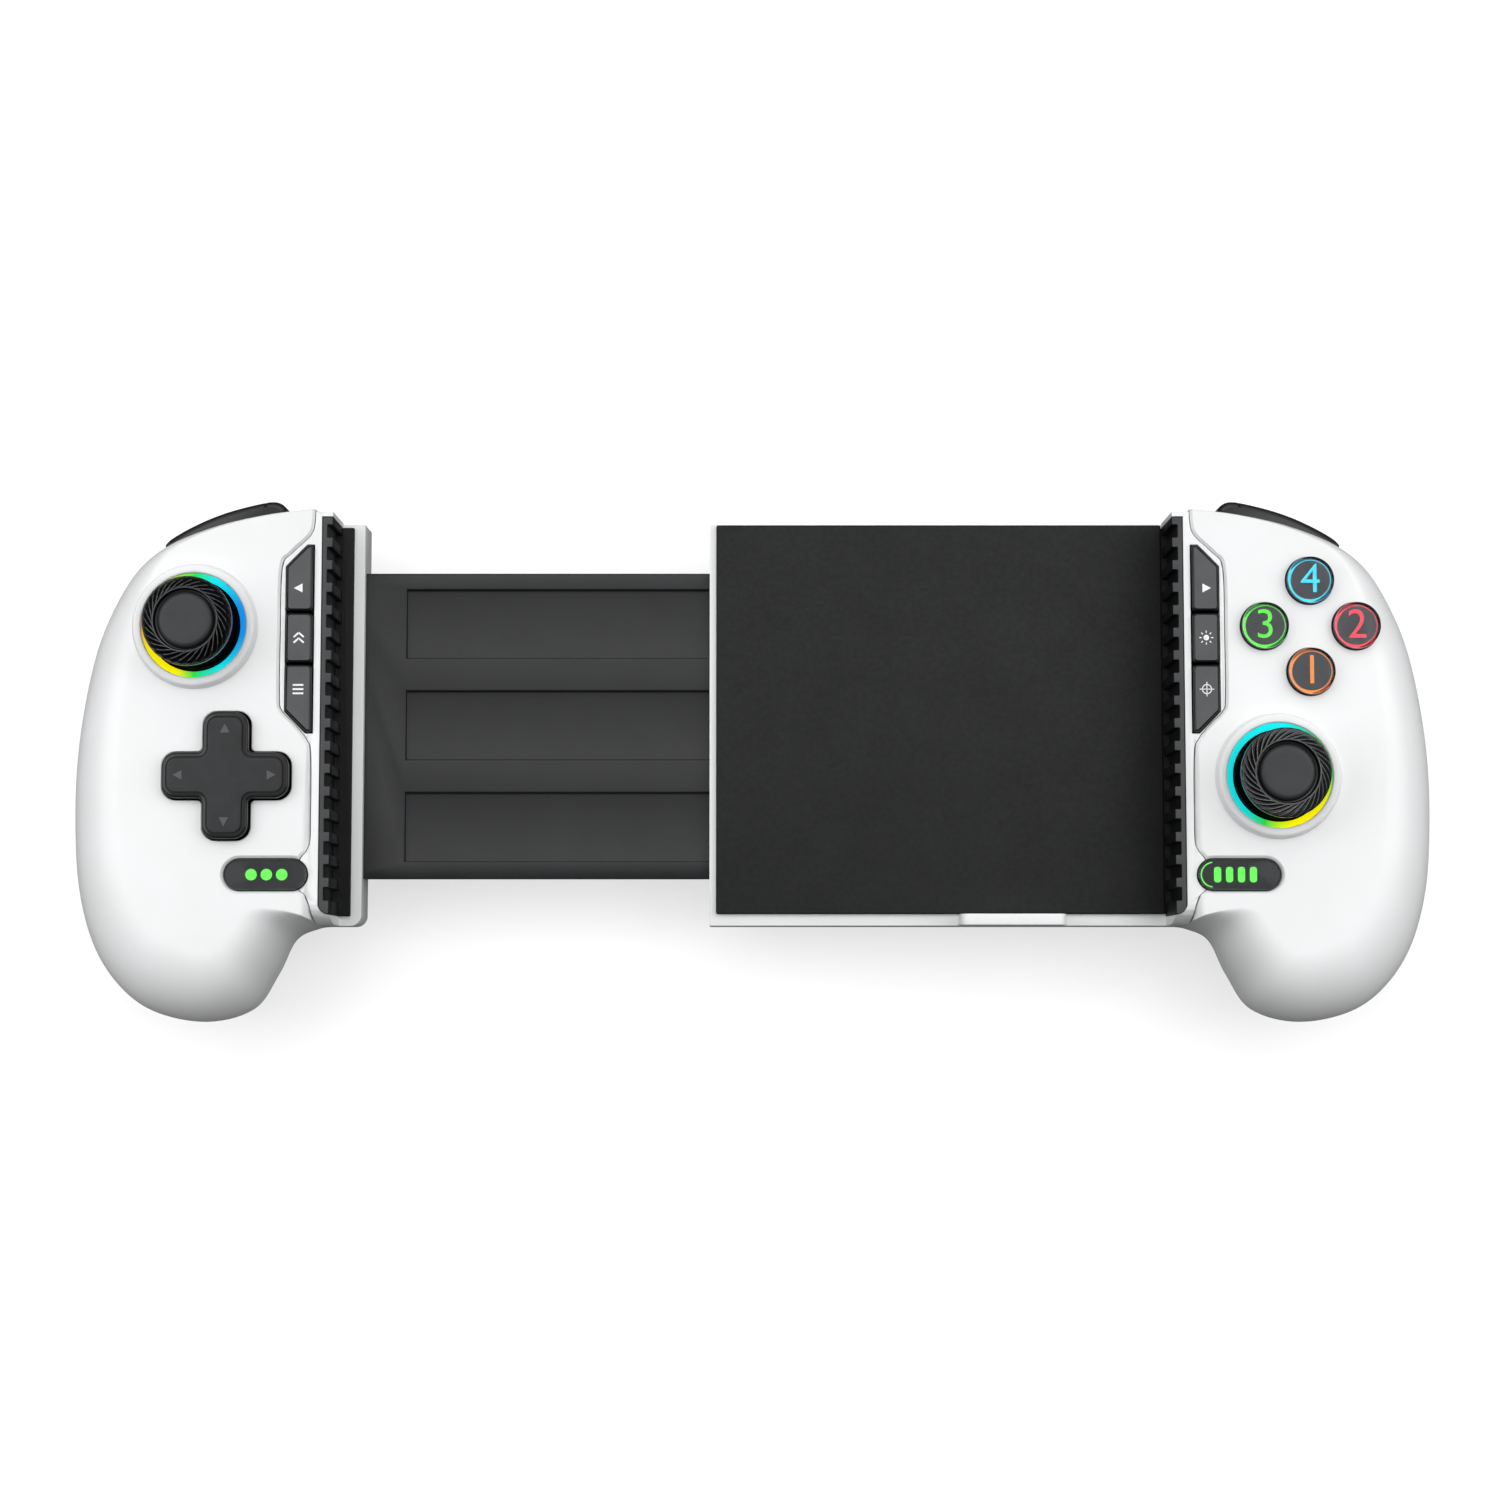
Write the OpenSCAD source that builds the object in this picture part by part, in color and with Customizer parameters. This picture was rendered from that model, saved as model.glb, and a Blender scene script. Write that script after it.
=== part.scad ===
// Telescopic phone gamepad: two moulded grips on a sliding bridge, with a device bay between ribbed jaws.
// The part lies on its back: +X to the right hand, +Y to the shoulder buttons, +Z out of the front face.

/* [Device bay] */
// Half of the distance between the rib tips of the two jaws
bay_half = 74.9; // [70:0.5:82]
// Depth of the bay from the front face to the bay floor
bay_depth = 13; // [11:0.5:14]
// Top end of the ribbed jaw
jaw_top = 42.3; // [40:0.1:43]
// Bottom end of the ribbed jaw
jaw_bottom = -28.7; // [-29.4:0.1:-26]
// Height of a jaw rib
rib_h = 1; // [0.6:0.1:1.4]
// Distance from rib to rib
rib_pitch = 4.05; // [3.4:0.05:5]
// Thickness of the rubber behind the ribs
comb_base = 1; // [0.8:0.1:1.4]
// Thickness of the rubber bay floor
pad_t = 1; // [0.8:0.1:1.4]

/* [Grip shell] */
// Height of the front face over the table
face_z = 34; // [33:0.5:36]
// Height of the parting line between front and rear shell
part_z = 20; // [19:0.5:20.5]
// Wall of the moulded shells
wall = 2; // [1.6:0.1:2.4]
// Height of the rear face behind the shoulders
shoulder_rear_z = 7; // [5:0.5:9]
// Gap between the front shell and the inner panel
seam_gap = 0.4; // [0.2:0.1:0.6]
// How far the inner panel lies under the front face
panel_drop = 0.4; // [0.2:0.1:0.8]

/* [Sticks] */
// Radius of the stick cap
cap_r = 7.9; // [7:0.1:8.4]
// Height of the stick cap's top over the front face
cap_h = 10; // [9.5:0.5:11]
// Thickness of the cap's head
cap_t = 4; // [3:0.5:4.5]
// Depth of the tilt centre under the front face
pivot_depth = 9; // [8.5:0.5:9.5]
// Radius of the skirt that closes the opening, about the tilt centre
skirt_r = 10.5; // [10.2:0.1:10.8]
// Inner radius of the light ring
ring_r = 8.2; // [8:0.1:8.5]
// Width of the light ring
ring_w = 1.1; // [0.9:0.1:1.3]
// Outer radius of the collar
collar_r = 11.7; // [11.3:0.1:12]
// Height of the collar over the front face
collar_h = 1.9; // [1.4:0.1:2]

/* [Direction pad] */
// Length of the cross from end to end
dpad_l = 22.5; // [20:0.1:24]
// Width of an arm
dpad_w = 8.1; // [7:0.1:9]
// Height of the cross over the front face
dpad_h = 2.3; // [1.8:0.1:2.6]
// Corner radius of the arm ends
dpad_corner = 2.6; // [1.5:0.1:3]

/* [Face buttons] */
// Distance from the centre of the diamond to a button
diamond_r = 8.15; // [7.8:0.05:9]
// Radius of a button
button_r = 4.15; // [3.6:0.05:4.4]
// Height of a button over the front face
button_h = 2.2; // [1.6:0.1:2.6]
// Radius of the dark core under the clear cap
core_r = 3.2; // [2.8:0.1:3.4]

/* [Keys] */
// Width of a function key
key_w = 4.7; // [4:0.1:4.8]
// Height of the key tops over the front face
key_h = 0.5; // [0.3:0.1:0.9]
// Length of the pill key
pill_l = 14.5; // [12:0.5:15]
// Width of the pill key
pill_w = 5.3; // [4.6:0.1:5.6]

/* [Shoulder controls] */
// Half of the bumper's length
bumper_half = 11.5; // [10.8:0.1:11.8]
// Height of the bumper along the grip's depth
bumper_t = 8.8; // [8:0.2:9]
// Half of the trigger's width
trigger_half = 10; // [9:0.1:10.2]
// Radius of the trigger pin
pin_r = 1; // [0.8:0.1:1.2]

/* [Bridge] */
// Length of the sleeve's free stretch, measured from the right jaw
sleeve_l = 84.7; // [75:0.5:90]
// Thickness of the sleeve
sleeve_t = 9; // [8.5:0.1:9.5]
// Wall of the sleeve
sleeve_wall = 1.6; // [1.4:0.1:1.8]
// Upper edge of the sleeve
sleeve_top = 43; // [41:0.5:44]
// Lower edge of the sleeve
sleeve_bottom = -30.4; // [-31:0.2:-29.6]
// How far the slider reaches into the sleeve at rest
slider_in = 45; // [40:1:50]
// Half of the slider's width
slider_half = 28; // [24:0.5:30]
// Length of the support lug at the lower edge of the sleeve
lug_l = 19; // [14:0.5:24]
// Height of the support lug over the sleeve
lug_h = 8; // [5:0.5:10]

/* [Inside] */
// Thickness of the circuit boards
board_t = 1.6; // [1:0.1:1.8]
// Radius of a shell screw's shank
screw_r = 1.2; // [1:0.1:1.4]
// Thickness of the battery cell
battery_t = 7; // [5:0.5:7.5]

/* [Hidden] */
$fn = 48;

// Sides: 1 is the right hand, -1 the left hand
RIGHT = 1;
LEFT = -1;

// Colours
white = "#f3f4f5";
gloss_black = "#17181a";
soft_black = "#242527";
key_grey = "#3f4144";
steel = "#b9bcc0";
board_green = "#1f5a3c";
clear_tint = "#8c9096";

// Clearances
press_gap = 0.05;
run_gap = 0.06;
slide_gap = 0.3;
seat_gap = 0.3;

// Levels that follow from the driving sizes
jaw_x = bay_half + rib_h + comb_base;
ceiling_z = face_z - wall;
floor_z = face_z - bay_depth;
sleeve_front = floor_z - pad_t;
sleeve_back = sleeve_front - sleeve_t;
panel_z = face_z - panel_drop;
pivot_z = face_z - pivot_depth;
module_h = 8.5;
board_z = pivot_z - module_h;
membrane_t = 1.2;
dome_h = 1.5;
dome_top = board_z + membrane_t + dome_h;

// Grip outline from the jaw's top, round the grip to its lowest point:
// x from the jaw plane, y, edge rounding of the front shell, squareness of the rear shell
grip_outer = [
    [0, 44.2, 1.6, 5], [9.1, 43.4, 2, 2.4], [19.1, 41.7, 2.2, 2.2], [28.1, 38.6, 3.4, 2.2],
    [34.1, 34.6, 6, 2.2], [38.6, 28, 8, 2.2], [42.4, 18.4, 9.5, 2.2], [45, 4, 10, 2.2],
    [45.7, -10, 11, 2.2], [44.6, -25, 12, 2.2], [40.6, -36.8, 13.5, 2.2], [33.1, -44.8, 13.5, 2.2],
    [22.6, -47.7, 13, 2.2]
];
// Grip outline from its lowest point, through the neck to the jaw's bottom
grip_inner = [
    [22.6, -47.7, 13, 2.2], [13.6, -45.6, 11.5, 2.2], [9.1, -39.3, 9.5, 2.2], [6, -33, 8, 2.4],
    [2.7, -30.9, 6, 4], [0, -30.4, 3.5, 5]
];
// Seam between front shell and inner panel, from the top down
seam = [
    [1.3, 46], [1.3, 41.5], [2.1, 38.9], [5.4, 35.7], [7.1, 33], [7.3, 21.5], [7.3, 9.9], [6.8, 7.4],
    [4.5, 5], [2.3, 2.2], [1.6, -0.4], [1.5, -11], [1.7, -16.5], [3.6, -19.5], [3.6, -24], [2.4, -25.3],
    [1.6, -27.2], [1.2, -29.6], [1.1, -31.5]
];
// Line inside the grip that the shell's surfaces bend towards
spine_top = [20, 28];
spine_bottom = [24, -28];
// Where the rear shell is deepest, and where it has become shallow, along the spine
palm_y = -16;
shallow_y = 18;
span_steps = 3;
jaw_steps = span_steps * (len(grip_outer) - len(grip_inner));

// Places in a grip, from the jaw plane
upper_at = [22.3, 22.5];
lower_at = [16.3, -4.2];
pill_at = [9.2, -21.7];
key_x = 1.4;
key_ends = [37, 25.05, 15.8, 3.6];
key_chamfer = 3.8;
key_break = 0.35;
screw_at = [[37.1, 10], [21.1, -37], [11.1, 33]];
shoulder_at = [17.3, 42.2];
shoulder_turn = 15.5;
shoulder_arc = 92;

function catmull(a, b, c, d, t) =
    0.5 * (2 * b + (c - a) * t + (2 * a - 5 * b + 4 * c - d) * t * t
        + (3 * b - a - 3 * c + d) * t * t * t);
function spline(p, steps, before, after) = let (
    first = is_undef(before) ? p[0] : before,
    last = is_undef(after) ? p[len(p) - 1] : after,
    q = concat([first], p, [last])
) [
    for (i = [0:len(p) - 2], j = [0:steps - 1])
        catmull(q[i], q[i + 1], q[i + 2], q[i + 3], j / steps),
    p[len(p) - 1]
];
function but_last(p) = [for (i = [0:len(p) - 2]) p[i]];
function clamp01(v) = min(1, max(0, v));

// The closed grip outline: outer run, inner run and the straight jaw line
jaw_low = grip_inner[len(grip_inner) - 1];
jaw_high = grip_outer[0];
outline = concat(
    but_last(spline(grip_outer, span_steps, after = grip_inner[1])),
    but_last(spline(grip_inner, span_steps, before = grip_outer[len(grip_outer) - 2])),
    [for (j = [0:jaw_steps - 1]) jaw_low + (jaw_high - jaw_low) * j / jaw_steps]
);
ring_n = len(outline);
half_n = ring_n / 2;

function spine(p) =
    let (u = clamp01((jaw_high.y - p.y) / (jaw_high.y - grip_inner[0].y)))
    spine_top + (spine_bottom - spine_top) * u;
function towards(p) =
    let (v = spine(p) - [p.x, p.y])
    v / norm(v);
function rear_z(y) =
    shoulder_rear_z * (1 - cos(180 * clamp01((y - palm_y) / (shallow_y - palm_y)))) / 2;

// One ring of the front surface: inset from the outline, and the angle up its quarter ellipse
function front_ring(inset, a) = [
    for (p = outline)
        let (q = [p.x, p.y] + towards(p) * (inset + p[2] * (1 - cos(a))))
        [q.x, q.y, part_z + (face_z - inset - part_z) * sin(a)]
];
// One ring of the rear surface: inset from the outline, and the share of the way to the spine
function rear_ring(inset, f) = [
    for (p = outline)
        let (s = spine(p))
        let (q = [p.x, p.y] + towards(p) * inset)
        let (r = q + (s - q) * f)
        let (swell = pow(1 - pow(1 - f, p[3]), 1 / p[3]))
        [r.x, r.y, part_z - (part_z - rear_z(s.y) - inset) * swell]
];
front_angles = [90, 72, 54, 36, 18, 0];
front_inner_angles = [0, 30, 60, 90];
rear_shares = [0.92, 0.7, 0.48, 0.28, 0.13, 0.04, 0];
rear_inner_shares = [0, 0.13, 0.48, 0.92];

// Skin of triangles over a stack of rings, closed at both ends by strips across the ring
function strip_faces(rings) = [
    for (k = [0:rings - 2], i = [0:ring_n - 1])
        let (j = (i + 1) % ring_n)
        each [
            [k * ring_n + i, k * ring_n + j, (k + 1) * ring_n + j],
            [k * ring_n + i, (k + 1) * ring_n + j, (k + 1) * ring_n + i]
        ]
];
// Strip across a ring: always steps on the side whose next point lies higher
function jaw_side(j) = (ring_n - j) % ring_n;
function strip_across(i, j) =
    i == half_n && j == half_n ? []
    : let (outer_next = j == half_n || (i < half_n && outline[i + 1].y >= outline[jaw_side(j + 1)].y))
        outer_next ? concat([[i, jaw_side(j), i + 1]], strip_across(i + 1, j))
        : concat([[i, jaw_side(j), jaw_side(j + 1)]], strip_across(i, j + 1));
across = [for (t = strip_across(0, 0)) if (t[0] != t[1] && t[1] != t[2] && t[0] != t[2]) t];
function end_faces(first, flip) = [
    for (t = across)
        let (f = [first, first, first] + t)
        flip ? [f[2], f[1], f[0]] : f
];
module ring_stack(rings, turn) {
    faces = concat(
        strip_faces(len(rings)),
        end_faces(0, false),
        end_faces((len(rings) - 1) * ring_n, true)
    );
    polyhedron([for (r = rings) each r], [for (f = faces) turn ? [f[2], f[1], f[0]] : f]);
}
module front_skin() {
    ring_stack(concat(
        [for (a = front_angles) front_ring(0, a)],
        [for (a = front_inner_angles) front_ring(wall, a)]
    ), true);
}
module front_core(inset) {
    ring_stack([for (a = front_angles) front_ring(inset, a)], true);
}
module rear_skin() {
    ring_stack(concat(
        [for (f = rear_shares) rear_ring(0, f)],
        [for (f = rear_inner_shares) rear_ring(wall, f)]
    ), false);
}
module rear_core(inset) {
    ring_stack([for (f = rear_shares) rear_ring(inset, f)], false);
}

// Placement
module on_side(side) {
    mirror([side < 0 ? 1 : 0, 0, 0])
        translate([jaw_x, 0, 0])
            children();
}
module at(place, z = 0) {
    translate([place.x, place.y, z])
        children();
}
module at_shoulder() {
    at(shoulder_at)
        rotate([0, 0, -shoulder_turn])
            children();
}

// Plain building shapes
module block(low, high) {
    translate(low)
        cube(high - low);
}
module prism(points, z0, z1) {
    translate([0, 0, z0])
        linear_extrude(z1 - z0)
            polygon(points);
}
module disc(r, z0, z1) {
    translate([0, 0, z0])
        cylinder(r = r, h = z1 - z0);
}
module pin_x(r, x0, x1) {
    translate([x0, 0, 0])
        rotate([0, 90, 0])
            cylinder(r = r, h = x1 - x0);
}
module pin_y(r, y0, y1) {
    translate([0, y0, 0])
        rotate([-90, 0, 0])
            cylinder(r = r, h = y1 - y0);
}
// Bar with round corners, centred, from z0 to z1
module soft_bar(l, w, r, z0, z1) {
    block([-l / 2 + r, -w / 2, z0], [l / 2 - r, w / 2, z1]);
    block([-l / 2, -w / 2 + r, z0], [l / 2, w / 2 - r, z1]);
    for (x = [-1, 1], y = [-1, 1])
        translate([x * (l / 2 - r), y * (w / 2 - r), 0])
            disc(r, z0, z1);
}
module stadium(l, w, z0, z1) {
    block([-l / 2 + w / 2, -w / 2, z0], [l / 2 - w / 2, w / 2, z1]);
    for (x = [-1, 1])
        translate([x * (l - w) / 2, 0, 0])
            disc(w / 2, z0, z1);
}
module cross(l, w, r, z0, z1) {
    soft_bar(l, w, r, z0, z1);
    soft_bar(w, l, r, z0, z1);
}

// Front shell
collar_hole_r = ring_r + ring_w + 1.1;
front_boss_r = 3;
boss_inset = 0.6;
pill_gap = 0.3;
dpad_gap = 0.3;
button_hole_r = button_r + slide_gap;
outside = 60;
far_x = -20;
seam_line = spline(seam, span_steps);
function seam_side(dx) = concat(
    [for (p = seam_line) [p.x + dx, p.y]],
    [[far_x, seam[len(seam) - 1].y], [far_x, seam[0].y]]
);
diamond = [[0, 1], [-1, 0], [1, 0], [0, -1]];

module front_shell(side) {
    stick_at = side == RIGHT ? lower_at : upper_at;
    color(white)
        on_side(side)
            difference() {
                union() {
                    front_skin();
                    intersection() {
                        front_core(boss_inset);
                        for (s = screw_at)
                            at(s)
                                disc(front_boss_r, board_z + press_gap, face_z);
                    }
                }
                for (s = screw_at)
                    at(s)
                        disc(screw_r + press_gap, part_z - outside, board_z + screw_bite + 1);
                prism(seam_side(seam_gap / 2), 0, face_z + 1);
                at(stick_at)
                    disc(collar_hole_r, part_z, face_z + 1);
                at(pill_at)
                    stadium(pill_l + 2 * pill_gap, pill_w + 2 * pill_gap, part_z, face_z + 1);
                if (side == RIGHT)
                    for (d = diamond)
                        at(upper_at + diamond_r * d) {
                            disc(button_hole_r, part_z, face_z + 1);
                            disc(cap_flange_r + slide_gap, part_z, ceiling_z);
                        }
                else
                    at(lower_at)
                        cross(dpad_l + 2 * dpad_gap, dpad_w + 2 * dpad_gap, dpad_corner, part_z, face_z + 1);
                at_shoulder()
                    bumper_window();
            }
}

// Rear shell
well_r = 2.6;
tube_r = 3.5;
tube_floor = 2.5;
screw_bite = 7.5;
screw_head_r = 2.2;
screw_head_t = 2;
ear_t = 1.6;
trigger_gap = 0.4;
pin_at = [-3, 15.2];
ear_in = -5.6;
ear_out = -1;
ear_h = 4.4;
ear_x = trigger_half + trigger_gap + 0.4;
tube_top = board_z - board_t;

module rear_shell(side) {
    color(white)
        on_side(side)
            difference() {
                union() {
                    rear_skin();
                    intersection() {
                        rear_core(boss_inset);
                        union() {
                            for (s = screw_at)
                                at(s)
                                    disc(tube_r, 0, tube_top - press_gap);
                            at_shoulder()
                                for (x = [-ear_x - ear_t, ear_x])
                                    block([x, ear_in, pin_at[1] - ear_h / 2],
                                        [x + ear_t, ear_out, pin_at[1] + ear_h / 2]);
                        }
                    }
                }
                for (s = screw_at)
                    at(s) {
                        disc(well_r, -1, tube_top - tube_floor);
                        disc(screw_r + press_gap, 0, part_z);
                    }
                block([far_x, sleeve_bottom - press_gap, sleeve_back - press_gap],
                    [sleeve_end + press_gap, sleeve_top + press_gap, part_z + 1]);
                at_shoulder() {
                    bumper_window();
                    trigger_window();
                    translate([0, pin_at[0], pin_at[1]])
                        pin_x(pin_r + press_gap / 2, -ear_x - ear_t - 1, ear_x + ear_t + 1);
                }
            }
}

// Inner panel with the jaw's wall
jaw_wall = 1;
panel_t = 2;
key_gap = 0.25;
panel_short = 1;
sleeve_end = 2.6;
stub_l = 6;
slider_t = 5;
slider_z = (sleeve_front + sleeve_back - slider_t) / 2;
slider_mid = (sleeve_top + sleeve_bottom) / 2;
slider_root = 3.5;
stub_r = 2;

function key_row(gap) = [
    [key_x - gap, key_ends[0] + gap],
    [key_x + key_w - key_chamfer + gap, key_ends[0] + gap],
    [key_x + key_w + gap, key_ends[0] - key_chamfer + gap / 2],
    [key_x + key_w + gap, key_ends[3] + key_chamfer - gap / 2],
    [key_x + key_w - key_chamfer + gap, key_ends[3] - gap],
    [key_x - gap, key_ends[3] - gap]
];

module jaw_frame(side) {
    top = jaw_high.y - panel_short;
    panel_edge = concat(
        [for (p = seam_line) if (p.y < top && p.y > jaw_low.y) [p.x - seam_gap / 2, p.y]],
        [[0, jaw_low.y], [0, top], [seam[0].x - seam_gap / 2, top]]
    );
    color(white)
        on_side(side)
            difference() {
                union() {
                    prism(panel_edge, panel_z - panel_t, panel_z);
                    block([0, jaw_low.y, sleeve_front], [jaw_wall, top, panel_z]);
                    jaw_foot();
                    block([-comb_depth, jaw_top + press_gap, sleeve_front], [jaw_wall / 2, top, panel_z]);
                    if (side == LEFT)
                        stub();
                }
                prism(key_row(key_gap), ceiling_z - outside, face_z + 1);
                at(pill_at)
                    stadium(pill_l + 2 * pill_gap, pill_w + 2 * pill_gap, floor_z, face_z + 1);
                neck_round();
                if (side == LEFT)
                    block([-slider_root - stub_l, slider_mid - slider_half - press_gap, slider_z - press_gap],
                        [jaw_wall - slider_back, slider_mid + slider_half + press_gap,
                            slider_z + slider_t + press_gap]);
            }
}
slider_back = 0.5;
// Rounding of the panel's lower end, which leads over to the neck of the grip
neck_round_l = 3.4;
neck_round_h = 8.6;
far_round = 10;
module neck_round() {
    low = [jaw_low.y + neck_round_l, panel_z - neck_round_h];
    rotate([90, 0, 90])
        translate([0, 0, -far_round])
            linear_extrude(2 * far_round)
                polygon(concat(
                    [for (a = [0:15:90]) low + [-neck_round_l * cos(a), neck_round_h * sin(a)]],
                    [[low.x, face_z + 1], [jaw_low.y - 1, face_z + 1], [jaw_low.y - 1, low.y]]
                ));
}
// Foot that closes the lower end of the rubber jaw and follows its round corner
module jaw_foot() {
    prism(concat(
        [[jaw_wall / 2, comb_corner.y]],
        [for (a = [0:-15:-90]) comb_corner + (comb_depth + press_gap) * [cos(a), sin(a)]],
        [[-comb_depth, jaw_low.y], [jaw_wall / 2, jaw_low.y]]
    ), sleeve_front, panel_z);
}
// Short back plate of the left jaw that the slider is fixed in
module stub() {
    block([-stub_l, sleeve_bottom + stub_r, sleeve_back], [jaw_wall, sleeve_top, sleeve_front]);
    block([-stub_l + stub_r, sleeve_bottom, sleeve_back], [jaw_wall, sleeve_bottom + stub_r, sleeve_front]);
    translate([-stub_l + stub_r, sleeve_bottom + stub_r, 0])
        disc(stub_r, sleeve_back, sleeve_front);
}

// Rubber jaw: a castellated strip, on the left with the bay floor in one piece
comb_drop = 0.2;
comb_depth = comb_base + rib_h;
comb_corner = [-comb_depth, jaw_bottom + comb_depth];
rib_w = 1.8;
// The lowest rib is longer and closes the jaw
rib_end = 2.5;
rib_n = floor((jaw_top - jaw_bottom - rib_end + rib_w) / rib_pitch);
left_pad_l = 4.1;
pad_inset = 0.2;
pad_edge = 1.2;
pad_bottom = -28.3;

module jaw_comb(side) {
    low_end = jaw_bottom + rib_end;
    top = panel_z - comb_drop;
    color(soft_black)
        on_side(side) {
            block([-comb_base, low_end, sleeve_front], [0, jaw_top, top]);
            prism(concat(
                [for (a = [-90:15:0]) comb_corner + comb_depth * [cos(a), sin(a)]],
                [[0, low_end], [-comb_depth, low_end]]
            ), sleeve_front, top);
            for (i = [1:rib_n])
                block([-comb_depth, low_end + i * rib_pitch - rib_w, sleeve_front],
                    [-comb_base, min(jaw_top, low_end + i * rib_pitch), top]);
            if (side == LEFT) {
                block([-left_pad_l, jaw_bottom, sleeve_front], [-comb_depth, jaw_top, floor_z]);
                block([-comb_depth, low_end, sleeve_front], [-comb_base, jaw_top, floor_z]);
            }
        }
}

// Stick collar, light ring and stick module
spigot_r = collar_hole_r - press_gap;
ring_top = face_z + collar_h - 0.7;
ring_low = ceiling_z + 0.6;
collar_soft = 1.2;

module stick_frame(side) {
    on_side(side)
        at(side == RIGHT ? lower_at : upper_at)
            children();
}
module stick_collar(side) {
    inner = ring_r + ring_w + press_gap;
    color(white)
        stick_frame(side)
            rotate_extrude()
                polygon(concat(
                    [[ring_r + 0.3, ceiling_z], [spigot_r, ceiling_z], [spigot_r, face_z + press_gap],
                        [collar_r, face_z + press_gap]],
                    [for (a = [0:18:90]) [collar_r, face_z + collar_h]
                        - collar_soft * [1 - cos(a), 1 - sin(a)]],
                    [[inner, face_z + collar_h], [inner, ring_low], [ring_r + 0.3, ring_low]]
                ));
}
module light_ring(side) {
    color("#4fe3d0")
        stick_frame(side)
            rotate_extrude()
                polygon([[ring_r, ring_low], [ring_r + ring_w, ring_low], [ring_r + ring_w, ring_top],
                    [ring_r, ring_top - 0.5]]);
}
base_half = 5.75;
base_wall = 1.15;
base_foot = 7;
base_floor = 1.5;
rocker_half = 4;
rocker_in = 2.9;
rocker_h = 1.5;
trunnion_r = 1;
post_pin_r = 0.8;
post_hub = 2.3;
post_r = 2;
base_top = pivot_z + 1.5;
foot_top = pivot_z - 2.3;

module stick_base(side) {
    inner = base_half - base_wall;
    color(soft_black)
        stick_frame(side)
            difference() {
                union() {
                    block([-base_half, -base_half, board_z], [base_half, base_half, base_top]);
                    block([-base_foot, -base_foot, board_z], [base_foot, base_foot, foot_top]);
                }
                block([-inner, -inner, board_z + base_floor], [inner, inner, base_top + 1]);
                translate([0, 0, pivot_z])
                    pin_x(trunnion_r + run_gap, -base_foot - 1, base_foot + 1);
            }
}
module stick_rocker(side) {
    color(key_grey)
        stick_frame(side)
            translate([0, 0, pivot_z])
                difference() {
                    union() {
                        block([-rocker_half, -rocker_half, -rocker_h], [rocker_half, rocker_half, rocker_h]);
                        pin_x(trunnion_r, -base_half, base_half);
                    }
                    block([-rocker_in, -rocker_in, -rocker_h - 1], [rocker_in, rocker_in, rocker_h + 1]);
                    pin_y(post_pin_r + run_gap, -rocker_half - 1, rocker_half + 1);
                }
}
post_top = cap_h - cap_t + 1.2;
module stick_post(side) {
    color(steel)
        stick_frame(side)
            translate([0, 0, pivot_z]) {
                block([-post_hub, -post_hub, -rocker_h], [post_hub, post_hub, rocker_h]);
                pin_y(post_pin_r, -rocker_half, rocker_half);
                disc(post_r, 0, pivot_depth + post_top);
            }
}
skirt_t = 1;
skirt_angle = 74;
neck_r = 3.4;
cap_groove_r = 5.5;
cap_groove = 0.5;
cap_edge = 1.1;
press_room = 0.8;
dome_steps = 7;
function dome_arc(r, from, to) = [
    for (k = [0:dome_steps])
        let (a = from + (to - from) * k / dome_steps)
        r * [sin(a), cos(a)]
];

module stick_cap(side) {
    top = pivot_depth + cap_h;
    under = top - cap_t;
    bore = post_r + run_gap;
    bore_end = pivot_depth + post_top + press_room;
    inner_r = skirt_r - skirt_t;
    color(soft_black)
        stick_frame(side)
            translate([0, 0, pivot_z])
                rotate_extrude()
                    polygon(concat(
                        [[0, bore_end], [bore, bore_end]],
                        dome_arc(inner_r, asin(bore / inner_r), skirt_angle),
                        dome_arc(skirt_r, skirt_angle, asin(neck_r / skirt_r)),
                        [[neck_r, under], [cap_r - cap_edge, under],
                            [cap_r, under + cap_edge], [cap_r, top - cap_edge], [cap_r - cap_edge, top],
                            [cap_groove_r + 0.5, top], [cap_groove_r, top - cap_groove],
                            [cap_groove_r - 0.6, top - cap_groove / 2], [0, top - cap_groove]]
                    ));
}

// Keys
flange_t = 0.9;
flange_w = 0.8;
key_low = panel_z - panel_t - seat_gap - flange_t;

module function_key(side, i) {
    y1 = key_ends[i] - (i == 0 ? 0 : key_break / 2);
    y0 = key_ends[i + 1] + (i == 2 ? 0 : key_break / 2);
    top_cut = i == 0 ? key_chamfer : 0;
    low_cut = i == 2 ? key_chamfer : 0;
    x1 = key_x + key_w;
    color(key_grey)
        on_side(side) {
            prism([[key_x, y1], [x1 - top_cut, y1], [x1, y1 - top_cut - 0.01], [x1, y0 + low_cut + 0.01],
                [x1 - low_cut, y0], [key_x, y0]], key_low, face_z + key_h);
            block([x1 - 1, y0 + low_cut, key_low], [x1 + flange_w, y1 - top_cut, key_low + flange_t]);
        }
}
pill_low = ceiling_z - seat_gap - flange_t;
pill_stem = [2.4, 0];
stem_r = 1.8;
stem_low = dome_top + 1.3;
module pill_key(side) {
    color(key_grey)
        on_side(side)
            at(pill_at) {
                stadium(pill_l, pill_w, pill_low, face_z + key_h);
                block([0, -pill_w / 2 - flange_w, pill_low], [pill_l / 2 - 1, pill_w / 2 + flange_w,
                    pill_low + flange_t]);
                at(pill_stem)
                    disc(stem_r, stem_low, pill_low + flange_t);
            }
}

// Shoulder bumper and trigger, in the frame of the shoulder edge
bumper_z0 = part_z - 1.4;
bumper_z1 = bumper_z0 + bumper_t;
bumper_in = 4.6;
bumper_gap = 0.35;
bumper_room = 2;
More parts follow.
